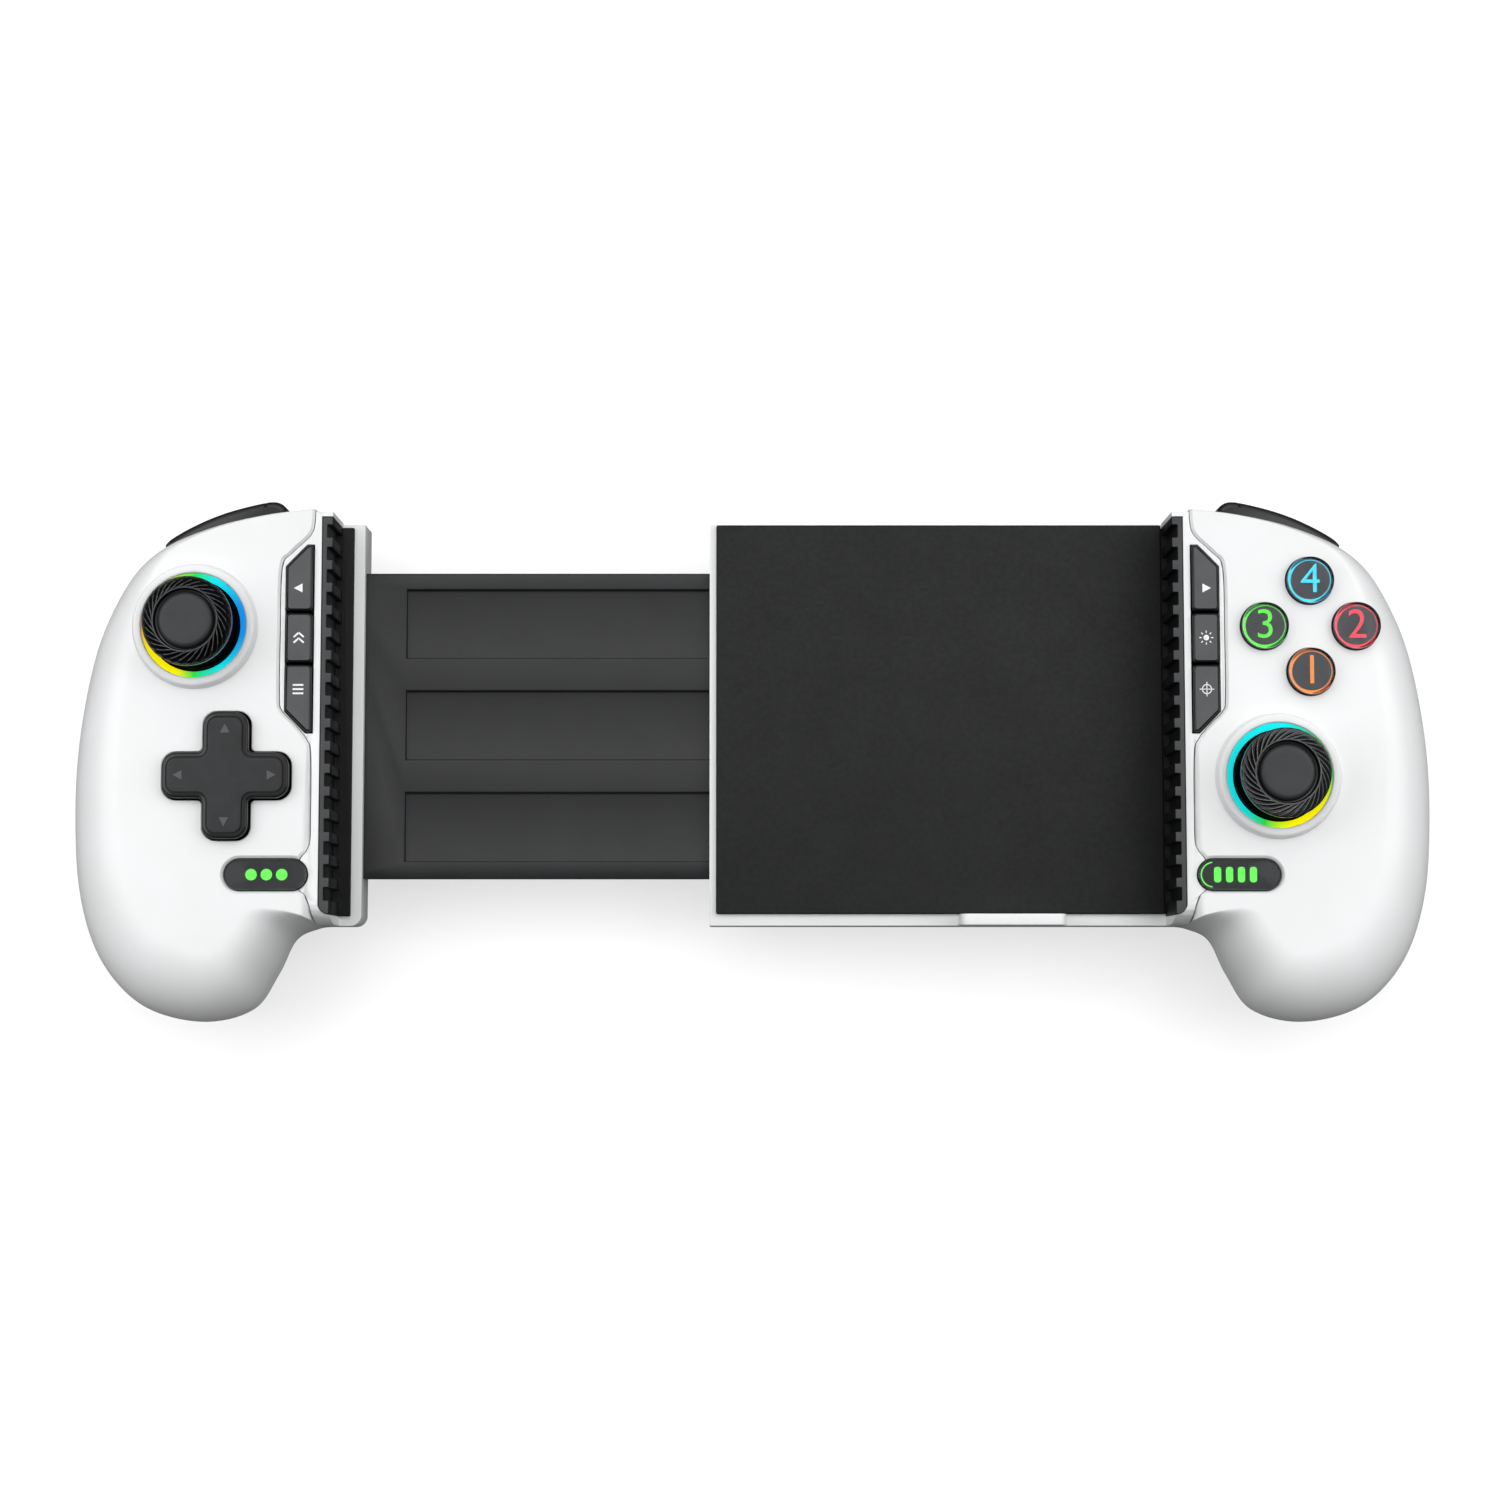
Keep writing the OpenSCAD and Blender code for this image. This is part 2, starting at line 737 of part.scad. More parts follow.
// How far the bumper stands out of the shell along its length, as shares of its half length
bumper_rise = [[-1, 0.4], [-0.92, 2.1], [-0.6, 2.6], [0, 2.45], [0.5, 1.9], [0.87, 1.1], [1, 0.3]];
trigger_rise = [[-1, 1.6], [-0.88, 3.3], [0, 3.9], [0.7, 3.2], [1, 1.4]];

function on_arc(x, r) = [x, sqrt((shoulder_arc + r) * (shoulder_arc + r) - x * x) - shoulder_arc];
function rise_edge(rise, half) = [for (p = spline(rise, span_steps)) on_arc(p[0] * half, p[1])];
function back_edge(half, depth) = [for (k = [4:-1:-4]) on_arc(half * k / 4, -depth)];

module bumper_window() {
    x = bumper_half + bumper_gap;
    block([-x, -bumper_in - bumper_room, bumper_z0 - bumper_gap], [x, outside, bumper_z1 + bumper_gap]);
}
module trigger_window() {
    x = trigger_half + trigger_gap;
    block([-x, -trigger_room, -1], [x, outside, part_z + 1]);
}
module bumper(side) {
    flange_back = bumper_in + 1;
    color(gloss_black)
        on_side(side)
            at_shoulder() {
                prism(concat(rise_edge(bumper_rise, bumper_half), back_edge(bumper_half, bumper_in)),
                    bumper_z0, bumper_z1);
                prism(concat([for (k = [-4:4]) on_arc(bumper_half * k / 4, -bumper_in)],
                    back_edge(bumper_half, flange_back)), bumper_z0, bumper_z1 + 1.2);
            }
}
// Side profile of the trigger: distance from the shoulder edge, height over the table
trigger_outer = [[0.4, 17.5], [2.6, 16.6], [3.7, 13.6], [3.4, 10], [2.4, 6.4], [2.2, 3.4], [3.3, 1]];
trigger_inner = [[2.4, 0], [-0.4, 1.2], [-2.4, 4.6], [-3.6, 8.4], [-4.2, 12]];
// Hollow of the trigger, open to the back
trigger_hollow = [[-5, 3.4], [0.4, 3.4], [0.7, 6.6], [1.8, 10], [1.6, 12.2], [-5, 12.2]];
trigger_cheek = 1.5;
trigger_room = 7;
trigger_back = 9;
hub_r = 2.2;
module trigger(side) {
    profile = concat(spline(trigger_outer, 2), spline(trigger_inner, 2),
        [[pin_at[0], pin_at[1] - hub_r * 0.9], [pin_at[0], pin_at[1] + hub_r * 0.9]]);
    color(gloss_black)
        on_side(side)
            at_shoulder()
                difference() {
                    union() {
                        intersection() {
                            rotate([90, 0, 90])
                                translate([0, 0, -trigger_half])
                                    linear_extrude(2 * trigger_half)
                                        polygon(profile);
                            prism(concat(rise_edge(trigger_rise, trigger_half),
                                back_edge(trigger_half, trigger_back)), -1, part_z);
                        }
                        translate([0, pin_at[0], pin_at[1]])
                            pin_x(hub_r, -trigger_half, trigger_half);
                    }
                    translate([0, pin_at[0], pin_at[1]])
                        pin_x(pin_r + run_gap, -trigger_half - 1, trigger_half + 1);
                    for (x = [-trigger_half + trigger_cheek, trigger_cheek / 2])
                        rotate([90, 0, 90])
                            translate([0, 0, x])
                                linear_extrude(trigger_half - 1.5 * trigger_cheek)
                                    polygon(trigger_hollow);
                }
}
module trigger_pin(side) {
    color(steel)
        on_side(side)
            at_shoulder()
                translate([0, pin_at[0], pin_at[1]])
                    pin_x(pin_r, -ear_x - ear_t, ear_x + ear_t);
}

// Circuit boards, membranes and screws
board_inset = 5;
board_start = 8;
board_back = -7.6;
key_board_drop = 3;
key_board_t = 1;
board_edge = [for (p = outline) let (q = [p.x, p.y] + towards(p) * board_inset) q];
module boards(side) {
    color(board_green)
        on_side(side) {
            difference() {
                prism(board_edge, board_z - board_t, board_z);
                block([far_x, -outside, 0], [board_start, outside, part_z]);
                at_shoulder()
                    block([-outside, board_back, 0], [outside, outside, part_z]);
                for (s = screw_at)
                    at(s)
                        disc(screw_r + press_gap, 0, part_z);
            }
            block([jaw_wall, key_ends[3] + 0.5, key_low - key_board_drop],
                [key_x + key_w, key_ends[0] - 0.5, key_low - key_board_drop + key_board_t]);
            for (i = [0:2])
                translate([key_x + key_w / 2, (key_ends[i] + key_ends[i + 1]) / 2, 0])
                    disc(1.5, key_low - key_board_drop + key_board_t, key_low - 0.8);
        }
}
membrane_r = 11.9;
dome_r = 2.4;
dpad_leg = 8;
module membrane(side) {
    pads = side == RIGHT ? [for (d = diamond) upper_at + diamond_r * d]
        : [for (d = diamond) lower_at + dpad_leg * d];
    color("#6f7479")
        on_side(side) {
            difference() {
                at(side == RIGHT ? upper_at : lower_at)
                    disc(membrane_r, board_z, board_z + membrane_t);
                at(side == RIGHT ? lower_at : upper_at)
                    disc(skirt_r + 1, board_z - 1, part_z);
                for (s = screw_at)
                    at(s)
                        disc(front_boss_r + press_gap, board_z - 1, part_z);
                block([far_x, -outside, 0], [board_start, outside, part_z]);
                if (side == LEFT)
                    at(lower_at)
                        disc(dpad_post_r + press_gap, 0, part_z);
            }
            for (p = pads)
                at(p)
                    disc(dome_r, board_z + membrane_t, dome_top);
            at(pill_at + pill_stem)
                disc(dome_r, board_z, dome_top);
        }
}
module screws(side) {
    head_z = tube_top - tube_floor;
    color(steel)
        on_side(side)
            for (s = screw_at)
                at(s) {
                    disc(screw_r, head_z, board_z + screw_bite);
                    disc(screw_head_r, head_z - screw_head_t, head_z);
                }
}

// Face buttons: clear cap over a dark core that reaches down to the membrane
cap_flange_r = button_r + 0.9;
cap_low = ceiling_z - seat_gap - flange_t;
core_top = face_z + 0.3;
core_stem_r = 2.4;
button_soft = 0.9;
module face_cap(d) {
    color(clear_tint, 0.45)
        on_side(RIGHT)
            at(upper_at + diamond_r * d)
                rotate_extrude()
                    polygon(concat(
                        [[core_r + press_gap, cap_low], [cap_flange_r, cap_low],
                            [cap_flange_r, cap_low + flange_t], [button_r, cap_low + flange_t]],
                        [for (a = [0:22.5:90]) [button_r - button_soft * (1 - cos(a)),
                            face_z + button_h - button_soft * (1 - sin(a))]],
                        [[0, face_z + button_h], [0, core_top + press_gap],
                            [core_r + press_gap, core_top + press_gap]]
                    ));
}
module face_core(d) {
    color(gloss_black)
        on_side(RIGHT)
            at(upper_at + diamond_r * d) {
                disc(core_r, cap_low, core_top);
                disc(core_stem_r, stem_low, cap_low);
            }
}

// Direction pad on a cross pivot
dpad_pivot_z = ceiling_z - 1.8;
dpad_under = dpad_pivot_z + 0.4;
dpad_flange_z = dpad_pivot_z - 0.7;
dpad_bevel = 0.9;
spider_r = 1.1;
spider_half = 4.4;
lug_in = 2.4;
ear_half = 1.9;
leg_r = 1.5;
dpad_post_r = 3.2;
module dpad() {
    top = face_z + dpad_h;
    flange_l = dpad_l + 1.4;
    flange_side = dpad_w + 1.4;
    color(soft_black)
        on_side(LEFT)
            at(lower_at)
                difference() {
                    union() {
                        for (turn = [0, 90])
                            rotate([0, 0, turn]) {
                                hull() {
                                    soft_bar(dpad_l, dpad_w, dpad_corner, dpad_under, top - dpad_bevel);
                                    soft_bar(dpad_l - 2 * dpad_bevel, dpad_w - 2 * dpad_bevel,
                                        dpad_corner - dpad_bevel, top - 0.1, top);
                                }
                                soft_bar(flange_l, flange_side, dpad_corner, dpad_flange_z,
                                    dpad_flange_z + flange_t);
                                soft_bar(dpad_l, dpad_w, dpad_corner, dpad_flange_z + flange_t / 2,
                                    top - 2 * dpad_bevel);
                            }
                        for (d = diamond)
                            at(dpad_leg * d)
                                disc(leg_r, stem_low, dpad_under);
                        for (y = [-spider_half, lug_in])
                            block([-ear_half, y, dpad_pivot_z - ear_half],
                                [ear_half, y + spider_half - lug_in, dpad_under + 1]);
                    }
                    block([-spider_half - 0.6, -lug_in, 0], [spider_half + 0.6, lug_in, dpad_under + 1.2]);
                    translate([0, 0, dpad_pivot_z])
                        pin_y(spider_r + run_gap, -spider_half - 0.5, spider_half + 0.5);
                }
}
module dpad_spider() {
    color(steel)
        on_side(LEFT)
            at(lower_at, dpad_pivot_z) {
                pin_x(spider_r, -spider_half, spider_half);
                pin_y(spider_r, -spider_half, spider_half);
            }
}
fork_depth = 3;
module dpad_post() {
    fork_low = dpad_pivot_z - fork_depth;
    color(white)
        on_side(LEFT)
            at(lower_at)
                difference() {
                    union() {
                        disc(dpad_post_r, board_z, fork_low);
                        for (x = [-spider_half, lug_in + 0.4])
                            block([x, -ear_half, fork_low - 1.2],
                                [x + spider_half - lug_in - 0.4, ear_half, dpad_pivot_z + spider_r]);
                        block([-spider_half, -ear_half, fork_low - 1.2], [spider_half, ear_half, fork_low]);
                    }
                    translate([0, 0, dpad_pivot_z])
                        pin_x(spider_r + run_gap, -spider_half - 1, spider_half + 1);
                }
}

// Bridge: sleeve on the right half, slider on the left half
usb_w = 8.9;
usb_t = 3.2;
usb_l = 7.3;
usb_at = -12;
lug_t = 2;
lug_at = -30.2;
lug_r = 1.6;
slot_w = 6;
slot_l = 15;
slot_off = 9;
slider_gap = 0.35;

module usb_shape(grow, y0, y1) {
    translate([usb_at, 0, (sleeve_front + sleeve_back) / 2])
        rotate([-90, 0, 0])
            stadium(usb_w + 2 * grow, usb_t + 2 * grow, y0, y1);
}
module bridge_sleeve() {
    x0 = -sleeve_l;
    color(white)
        on_side(RIGHT)
            difference() {
                union() {
                    block([x0, sleeve_bottom, sleeve_back], [sleeve_end, sleeve_top, sleeve_front]);
                    translate([lug_at, sleeve_bottom, 0])
                        support_lug();
                }
                block([x0 - 1, slider_mid - slider_half - slider_gap, slider_z - slider_gap],
                    [sleeve_end - sleeve_wall, slider_mid + slider_half + slider_gap,
                        slider_z + slider_t + slider_gap]);
                usb_shape(press_gap, slider_mid + slider_half - 1, sleeve_top + 1);
            }
}
// Lug at the lower edge of the sleeve that keeps a device from sliding out
module support_lug() {
    top = sleeve_front + lug_h;
    half = lug_l / 2;
    block([-half, 0, sleeve_front - 1], [half, lug_t, top - lug_r]);
    block([-half + lug_r, 0, sleeve_front - 1], [half - lug_r, lug_t, top]);
    for (x = [-half + lug_r, half - lug_r])
        translate([x, 0, top - lug_r])
            pin_y(lug_r, 0, lug_t);
}
module bridge_pad() {
    color(soft_black)
        on_side(RIGHT)
            block([-sleeve_l + pad_edge, pad_bottom, sleeve_front],
                [-comb_base - rib_h - pad_inset, sleeve_top - pad_inset, floor_z]);
}
slider_end = -sleeve_l + slider_in;
slider_start = -2 * bay_half - 2 * (rib_h + comb_base) - jaw_wall + slider_back;
spring_r = 2;
spring_end = sleeve_end - sleeve_wall;
slot_end = slider_end - slot_l;
rail_w = 6;
rail_drop = 1.2;
module slider_plate() {
    z1 = slider_z + slider_t;
    groove = slider_half / 3;
    groove_half = groove - rail_w / 2;
    groove_start = slider_start + 2 * slider_root + jaw_wall + stub_l;
    color(gloss_black)
        on_side(RIGHT)
            translate([0, slider_mid, 0])
                difference() {
                    block([slider_start, -slider_half, slider_z], [slider_end, slider_half, z1]);
                    for (y = [-slot_off, slot_off])
                        block([slot_end, y - slot_w / 2, slider_z - 1],
                            [slider_end + 1, y + slot_w / 2, z1 + 1]);
                    for (y = [-2 * groove, 0, 2 * groove])
                        block([groove_start, y - groove_half, z1 - rail_drop],
                            [slot_end - rail_w, y + groove_half, z1 + 1]);
                }
}
module bridge_springs() {
    color(steel)
        on_side(RIGHT)
            for (y = [-slot_off, slot_off])
                translate([0, slider_mid + y, slider_z + slider_t / 2])
                    pin_x(spring_r, slot_end + press_gap, spring_end - press_gap);
}
cable_w = 6;
cable_t = 0.3;
module bridge_cable() {
    color("#c8772a")
        on_side(RIGHT)
            block([slider_end + press_gap, slider_mid - cable_w / 2, slider_z + slider_t / 2],
                [spring_end - press_gap, slider_mid + cable_w / 2, slider_z + slider_t / 2 + cable_t]);
}
usb_wall = 0.4;
usb_tongue = 3.3;
module usb_receptacle() {
    y0 = sleeve_top - usb_l;
    color(steel)
        on_side(RIGHT) {
            difference() {
                usb_shape(0, y0, sleeve_top);
                usb_shape(-usb_wall, y0 + 1, sleeve_top + 1);
            }
            translate([usb_at, 0, (sleeve_front + sleeve_back) / 2])
                block([-usb_tongue, y0 + 0.5, -0.35], [usb_tongue, sleeve_top - 1, 0.35]);
        }
}

// Battery cell under the left board
battery_low = [16, -29];
battery_high = [35, -3];
module battery() {
    color("#8f959c")
        on_side(LEFT)
            block([battery_low.x, battery_low.y, tube_top - battery_t],
                [battery_high.x, battery_high.y, tube_top]);
}

front_shell(RIGHT);  // right_front_shell
rear_shell(RIGHT);  // right_rear_shell
jaw_frame(RIGHT);  // right_jaw_frame
jaw_comb(RIGHT);  // right_jaw_comb
stick_collar(RIGHT);  // right_stick_collar
light_ring(RIGHT);  // right_light_ring
stick_base(RIGHT);  // right_stick_base
stick_rocker(RIGHT);  // right_stick_rocker
stick_post(RIGHT);  // right_stick_post
stick_cap(RIGHT);  // right_stick_cap
function_key(RIGHT, 0);  // right_key_upper
function_key(RIGHT, 1);  // right_key_middle
function_key(RIGHT, 2);  // right_key_lower
pill_key(RIGHT);  // right_pill_key
bumper(RIGHT);  // right_bumper
trigger(RIGHT);  // right_trigger
trigger_pin(RIGHT);  // right_trigger_pin
boards(RIGHT);  // right_boards
membrane(RIGHT);  // right_membrane
screws(RIGHT);  // right_screws
front_shell(LEFT);  // left_front_shell
rear_shell(LEFT);  // left_rear_shell
jaw_frame(LEFT);  // left_jaw_frame
jaw_comb(LEFT);  // left_jaw_comb
stick_collar(LEFT);  // left_stick_collar
light_ring(LEFT);  // left_light_ring
stick_base(LEFT);  // left_stick_base
stick_rocker(LEFT);  // left_stick_rocker
stick_post(LEFT);  // left_stick_post
stick_cap(LEFT);  // left_stick_cap
function_key(LEFT, 0);  // left_key_upper
function_key(LEFT, 1);  // left_key_middle
function_key(LEFT, 2);  // left_key_lower
pill_key(LEFT);  // left_pill_key
bumper(LEFT);  // left_bumper
trigger(LEFT);  // left_trigger
trigger_pin(LEFT);  // left_trigger_pin
boards(LEFT);  // left_boards
membrane(LEFT);  // left_membrane
screws(LEFT);  // left_screws
face_cap(diamond[0]);  // face_button_top
face_cap(diamond[1]);  // face_button_left
face_cap(diamond[2]);  // face_button_right
face_cap(diamond[3]);  // face_button_bottom
face_core(diamond[0]);  // face_core_top
face_core(diamond[1]);  // face_core_left
face_core(diamond[2]);  // face_core_right
face_core(diamond[3]);  // face_core_bottom
bridge_sleeve();
bridge_pad();
slider_plate();
bridge_springs();
bridge_cable();
usb_receptacle();
dpad();
dpad_spider();
dpad_post();
battery();
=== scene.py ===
# %% [markdown]
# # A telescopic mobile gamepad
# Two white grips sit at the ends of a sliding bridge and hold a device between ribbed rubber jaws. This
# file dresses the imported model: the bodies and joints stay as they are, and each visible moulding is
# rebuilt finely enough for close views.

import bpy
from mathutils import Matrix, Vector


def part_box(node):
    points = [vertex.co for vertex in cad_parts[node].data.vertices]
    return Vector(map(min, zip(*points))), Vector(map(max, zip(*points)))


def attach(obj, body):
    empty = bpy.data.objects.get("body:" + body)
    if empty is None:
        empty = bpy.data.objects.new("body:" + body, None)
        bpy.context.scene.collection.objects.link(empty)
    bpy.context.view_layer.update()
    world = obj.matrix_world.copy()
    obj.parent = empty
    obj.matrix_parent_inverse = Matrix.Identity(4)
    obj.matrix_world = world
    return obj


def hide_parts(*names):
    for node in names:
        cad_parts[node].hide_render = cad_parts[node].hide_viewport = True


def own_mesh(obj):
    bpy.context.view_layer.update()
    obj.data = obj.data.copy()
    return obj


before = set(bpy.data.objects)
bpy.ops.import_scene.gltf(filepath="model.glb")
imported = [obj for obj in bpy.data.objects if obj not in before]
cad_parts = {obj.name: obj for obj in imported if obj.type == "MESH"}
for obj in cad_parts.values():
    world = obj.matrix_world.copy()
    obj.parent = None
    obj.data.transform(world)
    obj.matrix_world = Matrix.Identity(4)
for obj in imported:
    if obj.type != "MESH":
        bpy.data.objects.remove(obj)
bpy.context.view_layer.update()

# %% [markdown]
# ## Units and places
# Blender works in metres, but a moulding is easier to read in millimetres, so all shapes below are written
# in millimetres and scaled once, when a piece is made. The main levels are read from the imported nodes, so
# the dressing follows the construction. Inside a grip, x counts outwards from the jaw's plane, and the left
# grip is the mirror image of the right one.

# %% Units and places
import math

import bmesh
import bpy
import numpy as np
from mathutils import Vector

MM = 0.001
RIGHT, LEFT = 1, -1
SIDES = {RIGHT: "right", LEFT: "left"}


def node_box(node):
    low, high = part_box(node)
    return np.array(low) / MM, np.array(high) / MM


def node_z(node):
    """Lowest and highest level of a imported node."""
    return [corner[2] for corner in node_box(node)]


def local_centre(node, side):
    low, high = node_box(node)
    middle = (low + high) / 2
    return np.array([side * middle[0] - JAW_X, middle[1]])


JAW_X = node_box("right_jaw_comb")[1][0]
FACE_Z, PART_Z, PANEL_Z = [node_z("right_" + node)[1] for node in ("front_shell", "rear_shell", "jaw_frame")]
STICK_AT = {side: local_centre(word + "_light_ring", side) for side, word in SIDES.items()}
PILL_AT = local_centre("right_pill_key", RIGHT)
DPAD_AT = local_centre("dpad", LEFT)
BUTTONS = {spot: local_centre("face_button_" + spot, RIGHT) for spot in ("top", "left", "right", "bottom")}
print("jaw plane", JAW_X, "face", FACE_Z, "parting line", PART_Z, "panel", PANEL_Z)

# %% [markdown]
# ## How a piece is made
# A piece is a mesh with its finishes, the body that it rides on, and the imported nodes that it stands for.
# One function does all of that, so that no piece can be left behind when a joint moves. Normals are
# smoothed except across edges that are really sharp.

# %% A piece from points and faces


def new_object(name, data):
    thing = bpy.data.objects.new(name, data)
    bpy.context.scene.collection.objects.link(thing)
    return thing


def coat(mesh, finishes):
    mesh.materials.clear()
    for finish in finishes:
        mesh.materials.append(finish)


def enrol(piece, body, nodes=()):
    """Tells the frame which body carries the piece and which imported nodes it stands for."""
    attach(piece, body)
    if nodes:
        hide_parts(*nodes)
    return piece


def smooth(piece, sharp):
    piece.data.shade_smooth()
    piece.data.set_sharp_from_angle(angle=math.radians(sharp))


def add_shape(name, shape, finishes, side=None, kinds=None, sharp=32):
    """An object from points in millimetres; with a side, x counts outwards from that jaw's plane."""
    verts, faces = shape
    verts = np.array(verts, float)
    if side is not None:
        verts = verts * (side, 1, 1) + (side * JAW_X, 0, 0)
    mesh = bpy.data.meshes.new(name)
    mesh.from_pydata((verts * MM).tolist(), [], faces)
    coat(mesh, finishes)
    if kinds is not None:
        mesh.polygons.foreach_set("material_index", kinds)
    build = bmesh.new()
    build.from_mesh(mesh)
    bmesh.ops.remove_doubles(build, verts=build.verts, dist=1e-7)
    bmesh.ops.recalc_face_normals(build, faces=build.faces)
    build.to_mesh(mesh)
    build.free()
    piece = new_object(name, mesh)
    smooth(piece, sharp)
    return piece


def add_piece(name, shape, finishes, body, side=None, nodes=(), kinds=None, sharp=32):
    """A piece of the object: its shape, its finishes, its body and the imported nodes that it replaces."""
    return enrol(add_shape(name, shape, finishes, side, kinds, sharp), body, nodes)


# %% [markdown]
# ## Outlines, lofts and turned shapes
# Moulded keys are outlines with round corners that shrink a little towards the top, so they are lofts: one
# loop of points per level, joined by quads. Round parts are turned about their axis from a profile. A cut
# is made with a boolean, because an opening through a curved shell has no simple loops of its own.

# %% Outlines


def spline(points, steps, before=None, after=None):
    """Catmull-Rom curve through the points; an end without a neighbour is repeated."""
    p = np.array([before or points[0], *points, after or points[-1]], float)
    t = np.arange(steps)[:, None] / steps
    runs = [0.5 * (2 * b + (c - a) * t + (2 * a - 5 * b + 4 * c - d) * t**2 + (3 * b - a - 3 * c + d) * t**3)
            for a, b, c, d in zip(p, p[1:], p[2:], p[3:])]
    return np.vstack([*runs, p[-2:-1]])


def rounded(points, radii, inset=0.0, steps=6):
    """Outline through corner points, counter-clockwise, each corner an arc, all drawn in by inset."""
    points = np.array(points, float)
    radii = np.broadcast_to(radii, len(points))
    loop = []
    for a, b, c, radius in zip(np.roll(points, 1, 0), points, np.roll(points, -1, 0), radii):
        u = (b - a) / np.linalg.norm(b - a)
        v = (c - b) / np.linalg.norm(c - b)
        in_u, in_v = np.array([-u[1], u[0]]), np.array([-v[1], v[0]])
        turn = math.atan2(u[0] * v[1] - u[1] * v[0], u @ v)
        corner = b + inset * (in_u + in_v) / (1 + in_u @ in_v)
        bend = max(radius - math.copysign(inset, turn), 0.02)
        start = corner - u * bend * math.tan(abs(turn) / 2)
        centre = start + math.copysign(bend, turn) * in_u
        for k in range(steps + 1):
            angle = turn * k / steps
            spin = np.array([[math.cos(angle), -math.sin(angle)], [math.sin(angle), math.cos(angle)]])
            loop.append(centre + spin @ (start - centre))
    return np.array(loop)


def bar_corners(at, length, width):
    return np.array([(-1, -1), (1, -1), (1, 1), (-1, 1)]) * (length / 2, width / 2) + at


def arc(centre, radius, start, end, steps=6):
    """Points of an arc in a profile, angles in degrees from the outward direction."""
    angles = np.radians(np.linspace(start, end, steps + 1))
    return [(centre[0] + radius * math.cos(a), centre[1] + radius * math.sin(a)) for a in angles]


def raised(profile, z):
    """A profile whose heights count from z."""
    return [(reach, z + height) for reach, height in profile]


def at_height(loop, z):
    return np.column_stack([loop, np.full(len(loop), z)])


# %% Lofts and turned shapes


def quads(rows, n):
    """Faces of a tube of closed rows with n points each."""
    return [(k * n + i, k * n + (i + 1) % n, (k + 1) * n + (i + 1) % n, (k + 1) * n + i)
            for k in range(rows - 1) for i in range(n)]


def loft(loops):
    """Points and faces of a closed stack of loops, all with the same count of points."""
    n, total = len(loops[0]), len(loops) * len(loops[0])
    return np.vstack(loops), quads(len(loops), n) + [tuple(range(n))[::-1], tuple(range(total - n, total))]


def stack(outline_at, levels):
    """Loft of one outline, drawn in at each level of (inset, height)."""
    return loft([at_height(outline_at(-inset), z) for inset, z in levels])


def turned(profile, at, steps=128, relief=0.0, twist=0.0):
    """Points and faces of a profile of (radius, height) turned about an upright axis.

    The relief lifts each ring's points along the profile's normal, and the twist turns each ring a little.
    """
    profile = np.array(profile, float)
    run = np.gradient(profile, axis=0)
    normal = np.column_stack([run[:, 1], -run[:, 0]]) / np.maximum(np.linalg.norm(run, axis=1), 1e-9)[:, None]
    reliefs = np.broadcast_to(relief, (len(profile), steps))
    angles = np.linspace(0, 2 * math.pi, steps, endpoint=False) + np.broadcast_to(twist, (len(profile), 1))
    reach = profile[:, :1] + reliefs * normal[:, :1]
    height = profile[:, 1:] + reliefs * normal[:, 1:]
    rings = np.stack([at[0] + reach * np.cos(angles), at[1] + reach * np.sin(angles), height], axis=2)
    return rings.reshape(-1, 3), quads(len(profile), steps)


def joined(shapes):
    """Several shapes as the points and faces of one."""
    verts, faces = [], []
    for more, sides in shapes:
        faces += [tuple(len(verts) + i for i in face) for face in sides]
        verts += more.tolist()
    return verts, faces


# %% Cuts and softened edges


def modify(piece, kind, **settings):
    step = piece.modifiers.new(kind, kind)
    for key, value in settings.items():
        setattr(step, key, value)


def apply_modifiers(piece):
    """Fixes the modifiers' result in the mesh, so that the piece is plain geometry."""
    bpy.context.view_layer.update()
    ready = piece.evaluated_get(bpy.context.evaluated_depsgraph_get())
    piece.data = bpy.data.meshes.new_from_object(ready)
    piece.modifiers.clear()


def settle_normals(piece):
    """Lets large flat faces set the normals at their edges, so that they stay flat to the eye."""
    modify(piece, "WEIGHTED_NORMAL", keep_sharp=True, weight=100)
    apply_modifiers(piece)


def cut(piece, tools, side, sharp=30):
    """Cuts the lofts of the tools' loops out of the piece."""
    blocks = [add_shape("tool", loft(loops), [], side) for loops in tools]
    for block in blocks:
        modify(piece, "BOOLEAN", operation="DIFFERENCE", solver="MANIFOLD", object=block)
    apply_modifiers(piece)
    for block in blocks:
        bpy.data.objects.remove(block)
    smooth(piece, sharp)


def from_node(name, node, finishes, body, edge):
    """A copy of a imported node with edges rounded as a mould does, where the shape is already right."""
    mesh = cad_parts[node].data.copy()
    build = bmesh.new()
    build.from_mesh(mesh)
    bmesh.ops.remove_doubles(build, verts=build.verts, dist=1e-6)
    bmesh.ops.dissolve_limit(build, angle_limit=math.radians(0.5), verts=build.verts, edges=build.edges)
    build.to_mesh(mesh)
    build.free()
    coat(mesh, finishes)
    piece = new_object(name, mesh)
    modify(piece, "BEVEL", width=edge * MM, segments=3, limit_method="ANGLE", angle_limit=math.radians(35))
    apply_modifiers(piece)
    smooth(piece, 30)
    return enrol(piece, body, [node])


# %% [markdown]
# ## Finishes
# Each finish is named for what the real surface is. Colours are written as sRGB hex values and turned to
# linear light by one function. One small function adds a shader node. Patterns are sized in millimetres
# through the object's own coordinates, which are metres here.

# %% Colour and node helpers


def srgb(code):
    parts = [int(code[i:i + 2], 16) / 255 for i in (1, 3, 5)]
    return tuple(c / 12.92 if c <= 0.04045 else ((c + 0.055) / 1.055) ** 2.4 for c in parts) + (1.0,)


